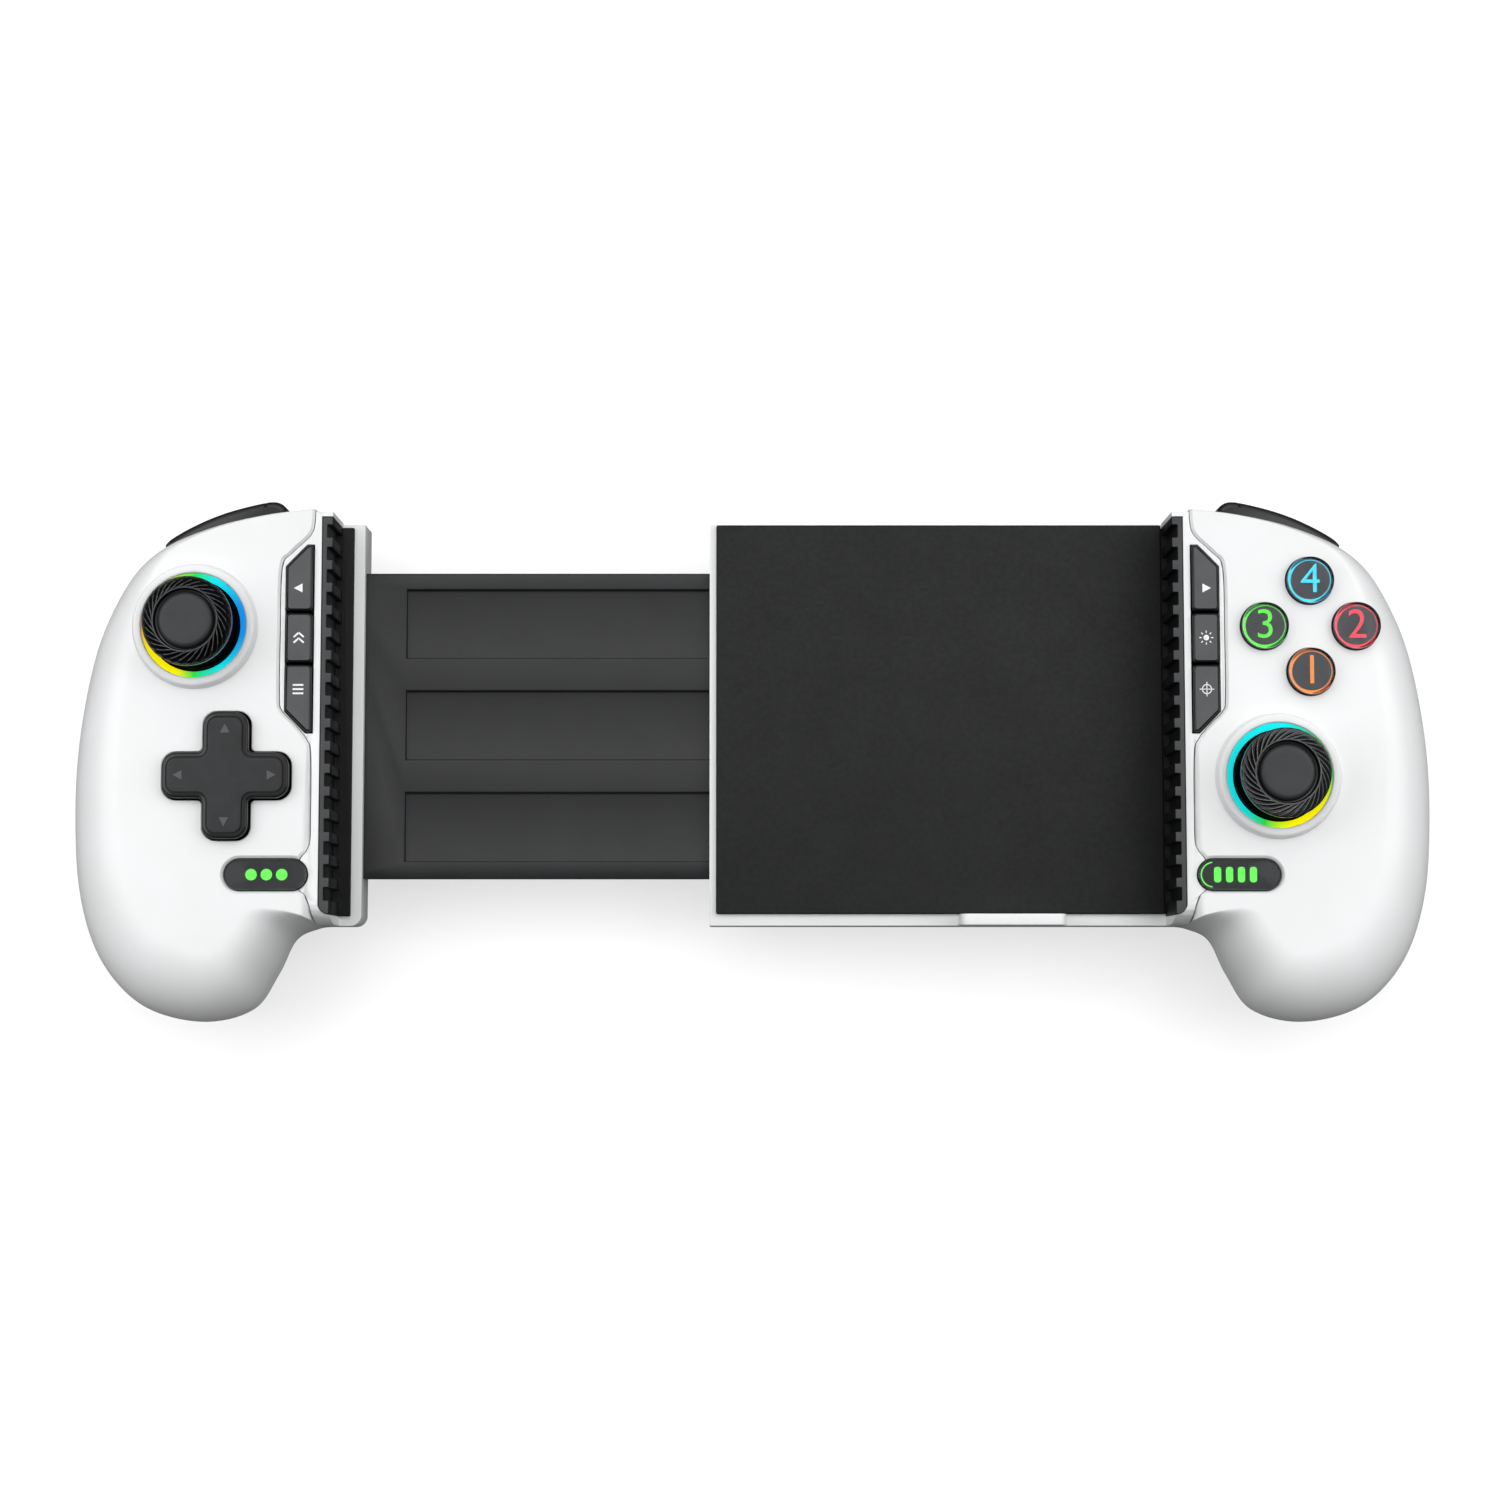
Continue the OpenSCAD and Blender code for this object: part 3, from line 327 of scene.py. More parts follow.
def feed(node, inputs):
    """Links the node's inputs to sockets and sets those that are given a value."""
    for socket, value in inputs.items():
        if isinstance(value, bpy.types.NodeSocket):
            node.id_data.links.new(value, node.inputs[socket])
        else:
            node.inputs[socket].default_value = value


def add_node(tree, kind, inputs=(), out=0, **settings):
    """Adds a shader node and gives one of its outputs."""
    node = tree.nodes.new(kind)
    for key, value in settings.items():
        setattr(node, key, value)
    feed(node, dict(inputs))
    return node.outputs[out]


def new_finish(name):
    """An empty material, its nodes, its surface shader and the object's own coordinates."""
    finish = bpy.data.materials.new(name)
    finish.use_nodes = True
    tree = finish.node_tree
    return finish, tree, tree.nodes["Principled BSDF"], add_node(tree, "ShaderNodeTexCoord", out="Object")


def ramp(tree, factor, stops):
    """A colour ramp over the factor: stops are (place, colour)."""
    colour = add_node(tree, "ShaderNodeValToRGB", {"Fac": factor}, "Color")
    elements = colour.node.color_ramp.elements
    while len(elements) < len(stops):
        elements.new(0.5)
    for element, (place, shade) in zip(elements, stops):
        element.position = place
        element.color = shade
    return colour


# %% [markdown]
# ### Moulded plastics and rubbers
# Injection-moulded ABS takes the texture of its steel mould: a fine spark-eroded grain on satin faces,
# almost none on polished ones. Rubber is rougher and scatters light. All of them share one build: a slow
# drift of tone, a fine grain in the roughness and the same grain as a shallow bump. The real grain is 0.02
# to 0.1 mm, which no pixel would show, so it is drawn coarser.

# %% Moulded plastics and rubbers
MICRON = 1e-6


def moulded(name, light, dark, grain, depth, roughness, ior, specular=0.5, drift=14.0):
    """Moulded surface: grain and drift in millimetres, depth of the grain in micrometres."""
    finish, tree, surface, place = new_finish(name)
    tone = add_node(tree, "ShaderNodeTexNoise", {"Vector": place, "Scale": 1 / (drift * MM), "Detail": 3.0})
    fine = add_node(tree, "ShaderNodeTexNoise", {"Vector": place, "Scale": 1 / (grain * MM), "Detail": 2.0})
    gloss = add_node(tree, "ShaderNodeMapRange", {"Value": fine, "From Min": 0.3, "From Max": 0.7,
                                                  "To Min": roughness * 0.9, "To Max": roughness * 1.1})
    bump = add_node(tree, "ShaderNodeBump", {"Height": fine, "Strength": 0.5, "Distance": depth * MICRON})
    colour = ramp(tree, tone, [(0.3, srgb(dark)), (0.7, srgb(light))])
    feed(surface, {"Base Color": colour, "Roughness": gloss, "Normal": bump, "IOR": ior,
                   "Specular IOR Level": specular})
    return finish


# ABS, satin spark-eroded mould: soft wide highlights on bright white
abs_white = moulded("abs_satin_white", "#f0f1f2", "#eceded", 0.6, 6, 0.34, 1.54)
# ABS, polished mould: deep black with clear reflections and a trace of flow
abs_black = moulded("abs_polished_black", "#111213", "#0d0e0f", 3.0, 4, 0.14, 1.54, 0.3, 6.0)
# ABS, fine grained and dark grey: faces of the keys and of the direction pad
abs_grey = moulded("abs_satin_grey", "#4c4d50", "#46474a", 0.4, 6, 0.42, 1.54, 0.4, 3.0)
abs_pad = moulded("abs_satin_pad", "#2c2d2f", "#272829", 0.4, 8, 0.38, 1.54, 0.22, 3.0)
# Elastomer of jaws and bay floor: the jaw rubber in lit and shaded copies, grey lands painted lit in front and
# black flanks and band by the panel painted as shade; a matt dusty floor, also used for a painted shadow strip
rubber_land_painted_lit = moulded("elastomer_land_painted_lit", "#444547", "#3e3f41", 0.5, 14, 0.62, 1.5, 0.4, 5.0)
rubber_flank_painted_shade = moulded("elastomer_flank_painted_shade", "#131415", "#0f1011", 0.5, 8, 0.5, 1.5, 0.2, 5.0)
rubber_gap_painted_shade = moulded("elastomer_gap_painted_shade", "#0f1011", "#0b0c0d", 0.5, 6, 0.4, 1.5, 0.25, 5.0)
rubber_floor_and_shadow_strip = moulded("elastomer_grained_floor_and_shadow_strip", "#1b1c1d", "#161718", 0.8, 24, 0.66, 1.5, 0.3, 9.0)
# Elastomer of the stick caps: shiny black vanes with painted highlights in pale grey on their crests, and a
# matt thumb rest
rubber_ridge = moulded("elastomer_polished_ridge", "#101112", "#0c0d0e", 0.5, 3, 0.22, 1.5, 0.5, 3.0)
rubber_painted_glint = moulded("elastomer_painted_glint", "#6c6d6f", "#58595b", 0.5, 6, 0.4, 1.5, 0.5, 2.0)
rubber_rest = moulded("elastomer_matt_rest", "#303133", "#2b2c2e", 0.35, 10, 0.52, 1.5, 0.4, 4.0)
# Nylon of the slider and the stick modules: dry running surface
nylon_black = moulded("nylon_moulded_black", "#1d1e20", "#18191a", 0.6, 8, 0.45, 1.53, 0.4, 8.0)
# Silicone of the button membranes
silicone_grey = moulded("silicone_moulded_grey", "#7b8085", "#70757a", 0.7, 8, 0.5, 1.41, 0.5, 5.0)
print("moulded finishes and packed materials:", len(bpy.data.materials))

# %% [markdown]
# ### Clear acrylic, printed ink and lights
# The face buttons and the long keys are clear acrylic over a dark core with a luminous print, which is why
# the print is mirrored in their rims. The stick rings are frosted polycarbonate over coloured diodes: the
# colour runs round the ring, so it is taken from the angle about the stick's axis. The inks glow a little. The
# light that runs round inside a face button is painted on a ring round its core as a dim coloured glow.

# %% Clear acrylic, printed ink and lights


def clear_acrylic():
    """Polished acrylic with faint polishing haze; its hard coat takes most of the glare."""
    finish, tree, surface, place = new_finish("acrylic_polished_clear")
    haze = add_node(tree, "ShaderNodeTexNoise", {"Vector": place, "Scale": 1 / (1.5 * MM)})
    gloss = add_node(tree, "ShaderNodeMapRange", {"Value": haze, "To Min": 0.0, "To Max": 0.05})
    feed(surface, {"Roughness": gloss, "Base Color": srgb("#f4f6f8"), "Transmission Weight": 1.0, "IOR": 1.49,
                   "Specular Tint": srgb("#8c8c8c")})
    return finish


def lit_ink_and_painted_glow(name, code, glow):
    """Lit screen-printed ink, also the painted glow round the face buttons' cores; tone varies with thickness.
    """
    finish, tree, surface, place = new_finish(name)
    film = add_node(tree, "ShaderNodeTexNoise", {"Vector": place, "Scale": 1 / (0.8 * MM)})
    deep = tuple(0.85 * c for c in srgb(code)[:3]) + (1.0,)
    colour = ramp(tree, film, [(0.35, deep), (0.65, srgb(code))])
    feed(surface, {"Base Color": colour, "Emission Color": colour, "Emission Strength": glow,
                   "Roughness": 0.45})
    return finish


def diode_ring(name, side, stops):
    """Frosted ring: the factor runs from 0 at nine o'clock, down through six, round to 1."""
    finish, tree, surface, place = new_finish(name)
    at = STICK_AT[side]
    centre = (side * (JAW_X + at[0]) * MM, at[1] * MM, 0.0)
    shifted = add_node(tree, "ShaderNodeVectorMath", {0: place, 1: centre}, operation="SUBTRACT")
    x, y, _ = add_node(tree, "ShaderNodeSeparateXYZ", {"Vector": shifted}).node.outputs
    angle = add_node(tree, "ShaderNodeMath", {0: y, 1: x}, operation="ARCTAN2")
    share = add_node(tree, "ShaderNodeMapRange", {"Value": angle, "From Min": -math.pi, "From Max": math.pi})
    colour = ramp(tree, share, [(spot, srgb(code)) for spot, code in stops])
    feed(surface, {"Base Color": colour, "Emission Color": colour, "Emission Strength": 0.45,
                   "Roughness": 0.5, "Specular IOR Level": 0.1})
    return finish


acrylic = clear_acrylic()
ink_white = lit_ink_and_painted_glow("ink_printed_white", "#f2f2f2", 0.1)
ink_green = lit_ink_and_painted_glow("ink_lit_green", "#66f450", 0.8)
CYAN, AZURE, GREEN, LIME, YELLOW, ORANGE = "#19eef2", "#1c9dfc", "#2fdc46", "#c8f01e", "#fcf000", "#fca81e"
ring_finish = {
    LEFT: diode_ring("polycarbonate_lit_left", LEFT, [
        (0.0, ORANGE), (0.08, YELLOW), (0.19, YELLOW), (0.25, GREEN), (0.34, CYAN), (0.47, AZURE),
        (0.56, AZURE), (0.68, CYAN), (0.75, GREEN), (0.82, LIME), (1.0, ORANGE)]),
    RIGHT: diode_ring("polycarbonate_lit_right", RIGHT, [
        (0.0, CYAN), (0.12, CYAN), (0.2, GREEN), (0.25, LIME), (0.29, YELLOW), (0.4, YELLOW), (0.46, LIME),
        (0.5, GREEN), (0.62, GREEN), (0.72, CYAN), (1.0, CYAN)]),
}
BUTTON_COLOUR = {"top": "#43dff5", "left": "#62f248", "right": "#fb4a5c", "bottom": "#fb9440"}
button_ink_and_glow = {spot: lit_ink_and_painted_glow("ink_lit_" + spot, code, 0.6) for spot, code in BUTTON_COLOUR.items()}
# Painted glow: the light that runs round inside each face button is painted in these dim colours on a ring
# round its core.
RIM_GLOW_COLOUR = {"top": "#1c6a8c", "left": "#2d8a33", "right": "#b41634", "bottom": "#b85a1e"}
rim_painted_glow = {spot: lit_ink_and_painted_glow("painted_glow_dim_" + spot, code, 0.25) for spot, code in RIM_GLOW_COLOUR.items()}
print("light ring finishes:", [m.name for m in ring_finish.values()])

# %% [markdown]
# ### Metals, boards and the cell
# Inside are drawn steel, a green solder mask over woven glass, amber polyimide film and an aluminium
# laminate. They are seen only through gaps and in the open poses, so they are simple but not flat: brushed
# lines on the steel, the weave of the glass cloth under the mask, and a slight quilting on the laminate.

# %% Metals, boards and the cell


def patterned(name, kind, spacing, light, dark, metallic, roughness, depth, stretch=(1, 1, 1)):
    """A finish with a regular pattern: waves or noise with the spacing in millimetres."""
    finish, tree, surface, place = new_finish(name)
    scaled = add_node(tree, "ShaderNodeMapping", {"Vector": place, "Scale": stretch})
    height = add_node(tree, kind, {"Vector": scaled, "Scale": 1 / (spacing * MM)}, "Fac")
    bump = add_node(tree, "ShaderNodeBump", {"Height": height, "Strength": 0.4, "Distance": depth * MICRON})
    colour = ramp(tree, height, [(0.25, srgb(dark)), (0.75, srgb(light))])
    feed(surface, {"Base Color": colour, "Normal": bump, "Metallic": metallic, "Roughness": roughness})
    return finish


steel = patterned("steel_drawn", "ShaderNodeTexNoise", 0.6, "#c4c6c9", "#a4a7ab", 1.0, 0.3, 4, (0.1, 1, 1))
mask_green = patterned("solder_mask_green", "ShaderNodeTexWave", 1.2, "#1f6a44", "#1a5a3a", 0.0, 0.32, 6)
film_amber = patterned("polyimide_film_amber", "ShaderNodeTexNoise", 2.0, "#c47a2c", "#a8621e", 0.0, 0.3, 4)
laminate = patterned("aluminium_laminate", "ShaderNodeTexNoise", 4.0, "#b4b8bc", "#9a9ea3", 0.9, 0.38, 30)
print("all finishes and packed materials:", len(bpy.data.materials))

# %% [markdown]
# ## Shells of the grips
# Each grip is two mouldings that meet at a parting line. The front one has a flat face and rolls over its
# edge in a quarter ellipse, small at the shoulders and large at the handle. The rear one swells from the
# parting line towards a line inside the grip, deep at the palm and shallow at the shoulders. A sculpted
# mesh would do, but the same formula as in the construction keeps the two in step, only with many more
# rings.

# %% Outline of a grip
# x from the jaw's plane, y, rounding of the front edge, squareness of the rear swell
GRIP_OUTER = [
    (0, 44.2, 1, 5), (9.1, 43.4, 1.2, 2.4), (19.1, 41.7, 1.9, 2.2), (28.1, 38.6, 3.1, 2.2),
    (34.1, 34.6, 5.8, 2.2), (38.6, 28, 8, 2.2), (42.4, 18.4, 9.5, 2.2), (45, 4, 10, 2.2),
    (45.7, -10, 11, 2.2), (44.6, -25, 12, 2.2), (40.6, -36.8, 13.5, 2.2), (33.1, -44.8, 13.5, 2.2),
    (22.6, -47.7, 13, 2.2)]
GRIP_INNER = [
    GRIP_OUTER[-1], (13.6, -45.6, 11.5, 2.2), (9.1, -39.3, 9.5, 2.2), (6, -33, 8, 2.4), (2.7, -30.9, 6, 4),
    (0, -30.4, 3.5, 5)]
SPINE_TOP, SPINE_BOTTOM = np.array([20.0, 28.0]), np.array([24.0, -28.0])
PALM_Y, SHALLOW_Y, SHOULDER_REAR_Z = -16, 18, 7
WALL = 2
SPAN_STEPS = 10

outer_run = spline(GRIP_OUTER, SPAN_STEPS, after=GRIP_INNER[1])
inner_run = spline(GRIP_INNER, SPAN_STEPS, before=GRIP_OUTER[-2])
jaw_count = len(outer_run) - len(inner_run)
jaw_run = inner_run[-1] + (outer_run[0] - inner_run[-1]) * np.arange(jaw_count)[:, None] / jaw_count
outline = np.vstack([outer_run[:-1], inner_run[:-1], jaw_run])
down = np.clip((outer_run[0][1] - outline[:, 1]) / (outer_run[0][1] - inner_run[0][1]), 0, 1)[:, None]
spine = SPINE_TOP + (SPINE_BOTTOM - SPINE_TOP) * down
towards = (spine - outline[:, :2]) / np.linalg.norm(spine - outline[:, :2], axis=1)[:, None]
fall = np.clip((spine[:, 1] - PALM_Y) / (SHALLOW_Y - PALM_Y), 0, 1)
rear_z = SHOULDER_REAR_Z * (1 - np.cos(math.pi * fall)) / 2
print("points round a grip:", len(outline))

# %% Rings of the two surfaces


def front_ring(inset, angle):
    a = math.radians(angle)
    xy = outline[:, :2] + towards * (inset + outline[:, 2:3] * (1 - math.cos(a)))
    return at_height(xy, PART_Z + (FACE_Z - inset - PART_Z) * math.sin(a))


def rear_ring(inset, share):
    start = outline[:, :2] + towards * inset
    swell = (1 - (1 - share) ** outline[:, 3]) ** (1 / outline[:, 3])
    xy = start + (spine - start) * share
    return np.column_stack([xy, PART_Z - (PART_Z - rear_z - inset) * swell])


def closing_strip(flip):
    """Triangles across a narrow ring; each step is on the side whose next point lies higher."""
    n, half = len(outline), len(outline) // 2
    height = outline[:, 1]
    strip = []
    i = j = 0
    while (i, j) != (half, half):
        near, far = -j % n, -(j + 1) % n
        outer_next = j == half or (i < half and height[i + 1] >= height[far])
        triangle = (i, near, i + 1) if outer_next else (i, near, far)
        i, j = (i + 1, j) if outer_next else (i, j + 1)
        if len(set(triangle)) == 3:
            strip.append(triangle[::-1] if flip else triangle)
    return strip


def rear_skin(rings):
    """Closed skin over the rear rings, whose ends are narrow and bent, so they are closed by strips."""
    last = (len(rings) - 1) * len(outline)
    faces = quads(len(rings), len(outline)) + closing_strip(False)
    return np.vstack(rings), faces + [tuple(last + i for i in t) for t in closing_strip(True)]


EDGE, GROOVE = 0.2, 0.35
front_rings = [front_ring(0, a) for a in (*range(90, 0, -6), 1.5)]
front_rings += [front_ring(EDGE, 0)] + [front_ring(WALL, a) for a in (0, 30, 60, 90)]
REAR_SHARES = (0.985, 0.95, 0.9, 0.83, 0.76, 0.68, 0.6, 0.52, 0.44, 0.36, 0.29, 0.22, 0.16, 0.11, 0.07, 0.04,
               0.02, 0.007, 0.001)
rear_rings = [rear_ring(0, f) for f in REAR_SHARES]
rear_rings += [rear_ring(0, 0) - (0, 0, GROOVE), rear_ring(EDGE, 0)]
rear_rings += [rear_ring(WALL, f) for f in (0, 0.04, 0.13, 0.3, 0.48, 0.7, 0.92)]
print("rings:", len(front_rings), len(rear_rings))

# %% [markdown]
# ### Openings in the front shell
# The openings are cut with lofted tools that flare a little at the top, which leaves the small chamfer that
# a mould gives to an edge. The inner panel beside the jaw meets the shell along a seam that runs round the
# function keys and the long key. The shell's edge is chamfered there and its lip lies over a rebate in the
# panel, so the seam is a fine grey line with a paler band beside it, and no light comes through.

# %% Tools that cut the front shell
SEAM = [
    (1.3, 46), (1.3, 41.5), (2.1, 38.9), (5.4, 35.7), (7.1, 33), (7.3, 21.5), (7.3, 9.9), (6.8, 7.4),
    (4.5, 5), (2.3, 2.2), (1.6, -0.4), (1.5, -11), (1.7, -16.5), (3.6, -19.5), (3.6, -24), (2.4, -25.3),
    (1.6, -27.2), (1.2, -29.6), (1.1, -31.5)]
SEAM_AT, SEAM_GAP, LIP_T, BAND = -0.2, 0.16, 0.1, 0.48
FAR_X, OUT_X, FAR_OUT, CUT_LOW, OVER, SEAT, SLACK = -20, 30, 40, PART_Z - 4, 0.5, 0.05, 0.35
SHOULDER_AT, SHOULDER_TURN, SHOULDER_ARC = np.array([17.3, 42.2]), math.radians(15.5), 92
BUMPER_HALF, BUMPER_AT, BUMPER_Z, BUMPER_IN = 11.5, 1.2, (18.6, 27.4), 4.6
ROUND_STEPS, CROSS_RADII = 96, [2.6, 2.6, 0.8] * 4
seam_line = spline(SEAM, 14)
seam_run = np.gradient(seam_line, axis=0)
seam_out = np.column_stack([-seam_run[:, 1], seam_run[:, 0]]) / np.linalg.norm(seam_run, axis=1)[:, None]


def seam_side(offset, far=FAR_X):
    """Outline of everything from the seam, moved outwards by offset, to the far side."""
    edge = seam_line + seam_out * offset
    return np.vstack([edge, [(far, edge[-1][1]), (far, edge[0][1])]])


def flared(outline_at, chamfer):
    """Loops of a tool that follows outline_at(growth) and opens by the chamfer at the front face."""
    levels = ((0, CUT_LOW), (0, FACE_Z - chamfer), (chamfer + OVER, FACE_Z + OVER))
    return [at_height(outline_at(grow), z) for grow, z in levels]


def round_hole(at, radius):
    angles = np.linspace(0, 2 * math.pi, ROUND_STEPS, endpoint=False)
    return lambda grow: at + (radius + grow) * np.column_stack([np.cos(angles), np.sin(angles)])


def long_hole(at, length, width):
    return lambda grow: rounded(bar_corners(at, length + 2 * grow, width + 2 * grow), width / 2 + grow - 0.01,
                                steps=16)


def cross_hole(at, length, width):
    a, w = length / 2, width / 2
    corners = np.array([(a, -w), (a, w), (w, w), (w, a), (-w, a), (-w, w), (-a, w), (-a, -w), (-w, -w),
                        (-w, -a), (w, -a), (w, -w)]) + at
    return lambda grow: rounded(corners, CROSS_RADII, -grow, steps=8)


def to_shoulder(points):
    """Points (along, out, z) of the shoulder edge's own frame, moved into the grip's frame."""
    points = np.array(points, float)
    along = np.array([math.cos(SHOULDER_TURN), -math.sin(SHOULDER_TURN)])
    out = np.array([math.sin(SHOULDER_TURN), math.cos(SHOULDER_TURN)])
    xy = SHOULDER_AT + points[:, :1] * along + points[:, 1:2] * out
    return np.column_stack([xy, points[:, 2]])


def shoulder_box(middle, half, back, low, high):
    loop = np.array([(-half, back), (half, back), (half, FAR_OUT), (-half, FAR_OUT)]) + (middle, 0)
    return [to_shoulder(at_height(loop, z)) for z in (low, high)]


print("points along the seam:", len(seam_line))

# %% Front shells
PILL_L, PILL_W, PILL_GAP, PILL_BEVEL = 14.5, 5.3, 0.3, 0.45
BUTTON_R, BUTTON_GAP, DPAD_L, DPAD_W, DPAD_GAP, STICK_HOLE_R = 4.15, 0.2, 22.5, 8.1, 0.6, 10.4
lip = SEAM_AT + SEAM_GAP
lip_levels = ((lip, PANEL_Z - LIP_T - SEAT), (lip, PANEL_Z - SEAT), (lip + BAND, FACE_Z + 0.02))
seam_tools = [[at_height(seam_side(0.1), z) for z in (0, PANEL_Z - LIP_T)],
              [at_height(seam_side(grow), z) for grow, z in lip_levels]]
pill_hole = flared(long_hole(PILL_AT, PILL_L + 2 * PILL_GAP, PILL_W + 2 * PILL_GAP), PILL_BEVEL)
bumper_hole = shoulder_box(BUMPER_AT, BUMPER_HALF + SLACK, -BUMPER_IN - 2, BUMPER_Z[0] - SLACK,
                           BUMPER_Z[1] + SLACK)
key_holes = {
    RIGHT: [flared(round_hole(at, BUTTON_R + BUTTON_GAP), 0.05) for at in BUTTONS.values()],
    LEFT: [flared(cross_hole(DPAD_AT, DPAD_L + DPAD_GAP, DPAD_W + DPAD_GAP), 0.1)],
}
for side, word in SIDES.items():
    front = add_piece(word + "_front_moulding", loft(front_rings), [abs_white], word + "_grip",
                      side, [word + "_front_shell"])
    stick_hole = flared(round_hole(STICK_AT[side], STICK_HOLE_R), 0.01)
    cut(front, [*seam_tools, stick_hole, pill_hole, bumper_hole, *key_holes[side]], side, 24)
    settle_normals(front)
    print(front.name, len(front.data.polygons), "faces")


# %% [markdown]
# ### Rear shells
# The rear moulding is open where the bridge passes into the grip and where bumper and trigger come out at the
# shoulder. Three wells lead to the screws. The back of the real object isn't known, so it is kept plain.

# %% Rear shells
SCREWS_AT = np.array([(37.1, 10), (21.1, -37), (11.1, 33)])
WELL_R, WELL_Z = 2.6, 12.4
SLEEVE_Y, SLEEVE_BACK, SLEEVE_END = (-30.4, 43.0), 11, 2.6
TRIGGER_HALF, TRIGGER_AT, TRIGGER_GAP = 10, 1.2, 0.4
bay_x, bay_low, bay_high = SLEEVE_END + SEAT, SLEEVE_Y[0] - SEAT, SLEEVE_Y[1] + SEAT
bay = np.array([(FAR_X, bay_low), (bay_x, bay_low), (bay_x, bay_high), (FAR_X, bay_high)])
rear_tools = [[at_height(bay, z) for z in (SLEEVE_BACK - SEAT, PART_Z + 1)], bumper_hole,
              shoulder_box(TRIGGER_AT, TRIGGER_HALF + TRIGGER_GAP, -7, -1, PART_Z + 1)]
rear_tools += [[at_height(round_hole(at, WELL_R)(0), z) for z in (-2, WELL_Z)] for at in SCREWS_AT]
for side, word in SIDES.items():
    rear = add_piece(word + "_rear_moulding", rear_skin(rear_rings), [abs_white], word + "_grip",
                     side, [word + "_rear_shell"])
    cut(rear, rear_tools, side, 24)
    settle_normals(rear)
    print(rear.name, len(rear.data.polygons), "faces")


# %% [markdown]
# ## Inner panels and jaws
# The panel beside the bay carries the function keys, and its jaw wall holds the ribbed rubber strip. Their
# shapes are plain, so the imported solids are right; they only need the small radii that every moulded edge
# has, and the panel a rebate for the shell's lip. The strip is coloured as lit and shaded copies of one
# rubber:
# its front lands are painted a lit grey, and its flanks and the band by the panel are painted black as shade.
# Under the right jaw's teeth lies a thin dark strip, a painted shadow, so no white shows between them.

# %% Inner panels and jaws
SHADE_BAND_W, SHADOW_STRIP_AT, SHADOW_STRIP_SIZE, SHADOW_STRIP_R = 0.3, (-1.4, 7), (1.8, 70.6), 0.3
rebate = [at_height(seam_side(SEAM_AT, OUT_X), z) for z in (PANEL_Z - LIP_T - SEAT, FACE_Z + 1)]
for side, word in SIDES.items():
    body = word + "_grip"
    panel = from_node(word + "_inner_panel", word + "_jaw_frame", [abs_white], body, 0.22)
    cut(panel, [rebate], side)
    jaw = from_node(word + "_ribbed_jaw", word + "_jaw_comb", [rubber_flank_painted_shade, rubber_land_painted_lit, rubber_gap_painted_shade], body,
                    0.2)
    # Painted light on the jaw: lands facing the front take the lit grey, the other faces the black of painted
    # shade, and the faces by the panel the black of the shade in the gap.
    kinds = []
    for face in jaw.data.polygons:
        painted_lit_land = face.normal.z > 0.8 and face.center.z / MM > PANEL_Z - 1
        kinds.append(2 if side * face.center.x / MM > JAW_X - SHADE_BAND_W else int(painted_lit_land))
    jaw.data.polygons.foreach_set("material_index", kinds)
    print(word, "panel", len(panel.data.polygons), "faces, jaw", len(jaw.data.polygons), "faces")

# A thin dark strip under the right jaw's teeth: a painted shadow that keeps the gaps between the teeth dark.
shadow_strip_levels = raised([(0, -0.1), (0, 0.3), (0.1, 0.4)], node_z("right_jaw_comb")[0])
shadow_strip = stack(lambda grow: rounded(bar_corners(SHADOW_STRIP_AT, *SHADOW_STRIP_SIZE), SHADOW_STRIP_R, -grow), shadow_strip_levels)
add_piece("right_jaw_shadow_strip", shadow_strip, [rubber_floor_and_shadow_strip], "right_grip", RIGHT)

# %% [markdown]
# ## Sticks
# A white collar frames each stick, and inside it lies the lit ring. The cap is one rubber moulding: a dome
# that closes the opening at every tilt, a neck, and a mushroom head with a sunk thumb rest. Its rim is cut
# into swept vanes for grip; they are real relief here, sharp ridges that lean round the rim.

# %% Collars and rings
RING_R, RING_W, COLLAR_R, COLLAR_H, COLLAR_LOW, SPIGOT_R = 8.2, 1.1, 11.2, 1.9, -1.4, 10.3
ring_out, ring_top = RING_R + RING_W, COLLAR_H - 0.7
bore = ring_out + 0.05
collar = [(bore, COLLAR_LOW), (SPIGOT_R, COLLAR_LOW), (SPIGOT_R, -0.05), (COLLAR_R, -0.05), (COLLAR_R, 0.1)]
collar += arc((COLLAR_R - 0.85, COLLAR_H - 0.5), 0.5, 15, 90)
collar += arc((bore + 0.35, COLLAR_H - 0.35), 0.35, 90, 180, 4) + [(bore, COLLAR_LOW)]
ring = [(RING_R, COLLAR_LOW), (ring_out, COLLAR_LOW), (ring_out, ring_top),
        (ring_out - 0.15, ring_top + 0.02), (RING_R + 0.2, ring_top - 0.4), (RING_R, ring_top - 0.55),
        (RING_R, COLLAR_LOW)]
for side, word in SIDES.items():
    add_piece(word + "_collar", turned(raised(collar, FACE_Z), STICK_AT[side]), [abs_white], word + "_grip",
              side, [word + "_stick_collar"])
    verts, faces = turned(raised(ring, FACE_Z), STICK_AT[side])
    kinds = np.repeat([0, 0, 0, 0, 0, 1], len(verts) // len(ring)).tolist()
    add_piece(word + "_lit_ring", (verts, faces), [ring_finish[side], abs_black], word + "_grip",
              side, [word + "_light_ring"], kinds)
print("collars and rings at", STICK_AT[RIGHT], STICK_AT[LEFT])

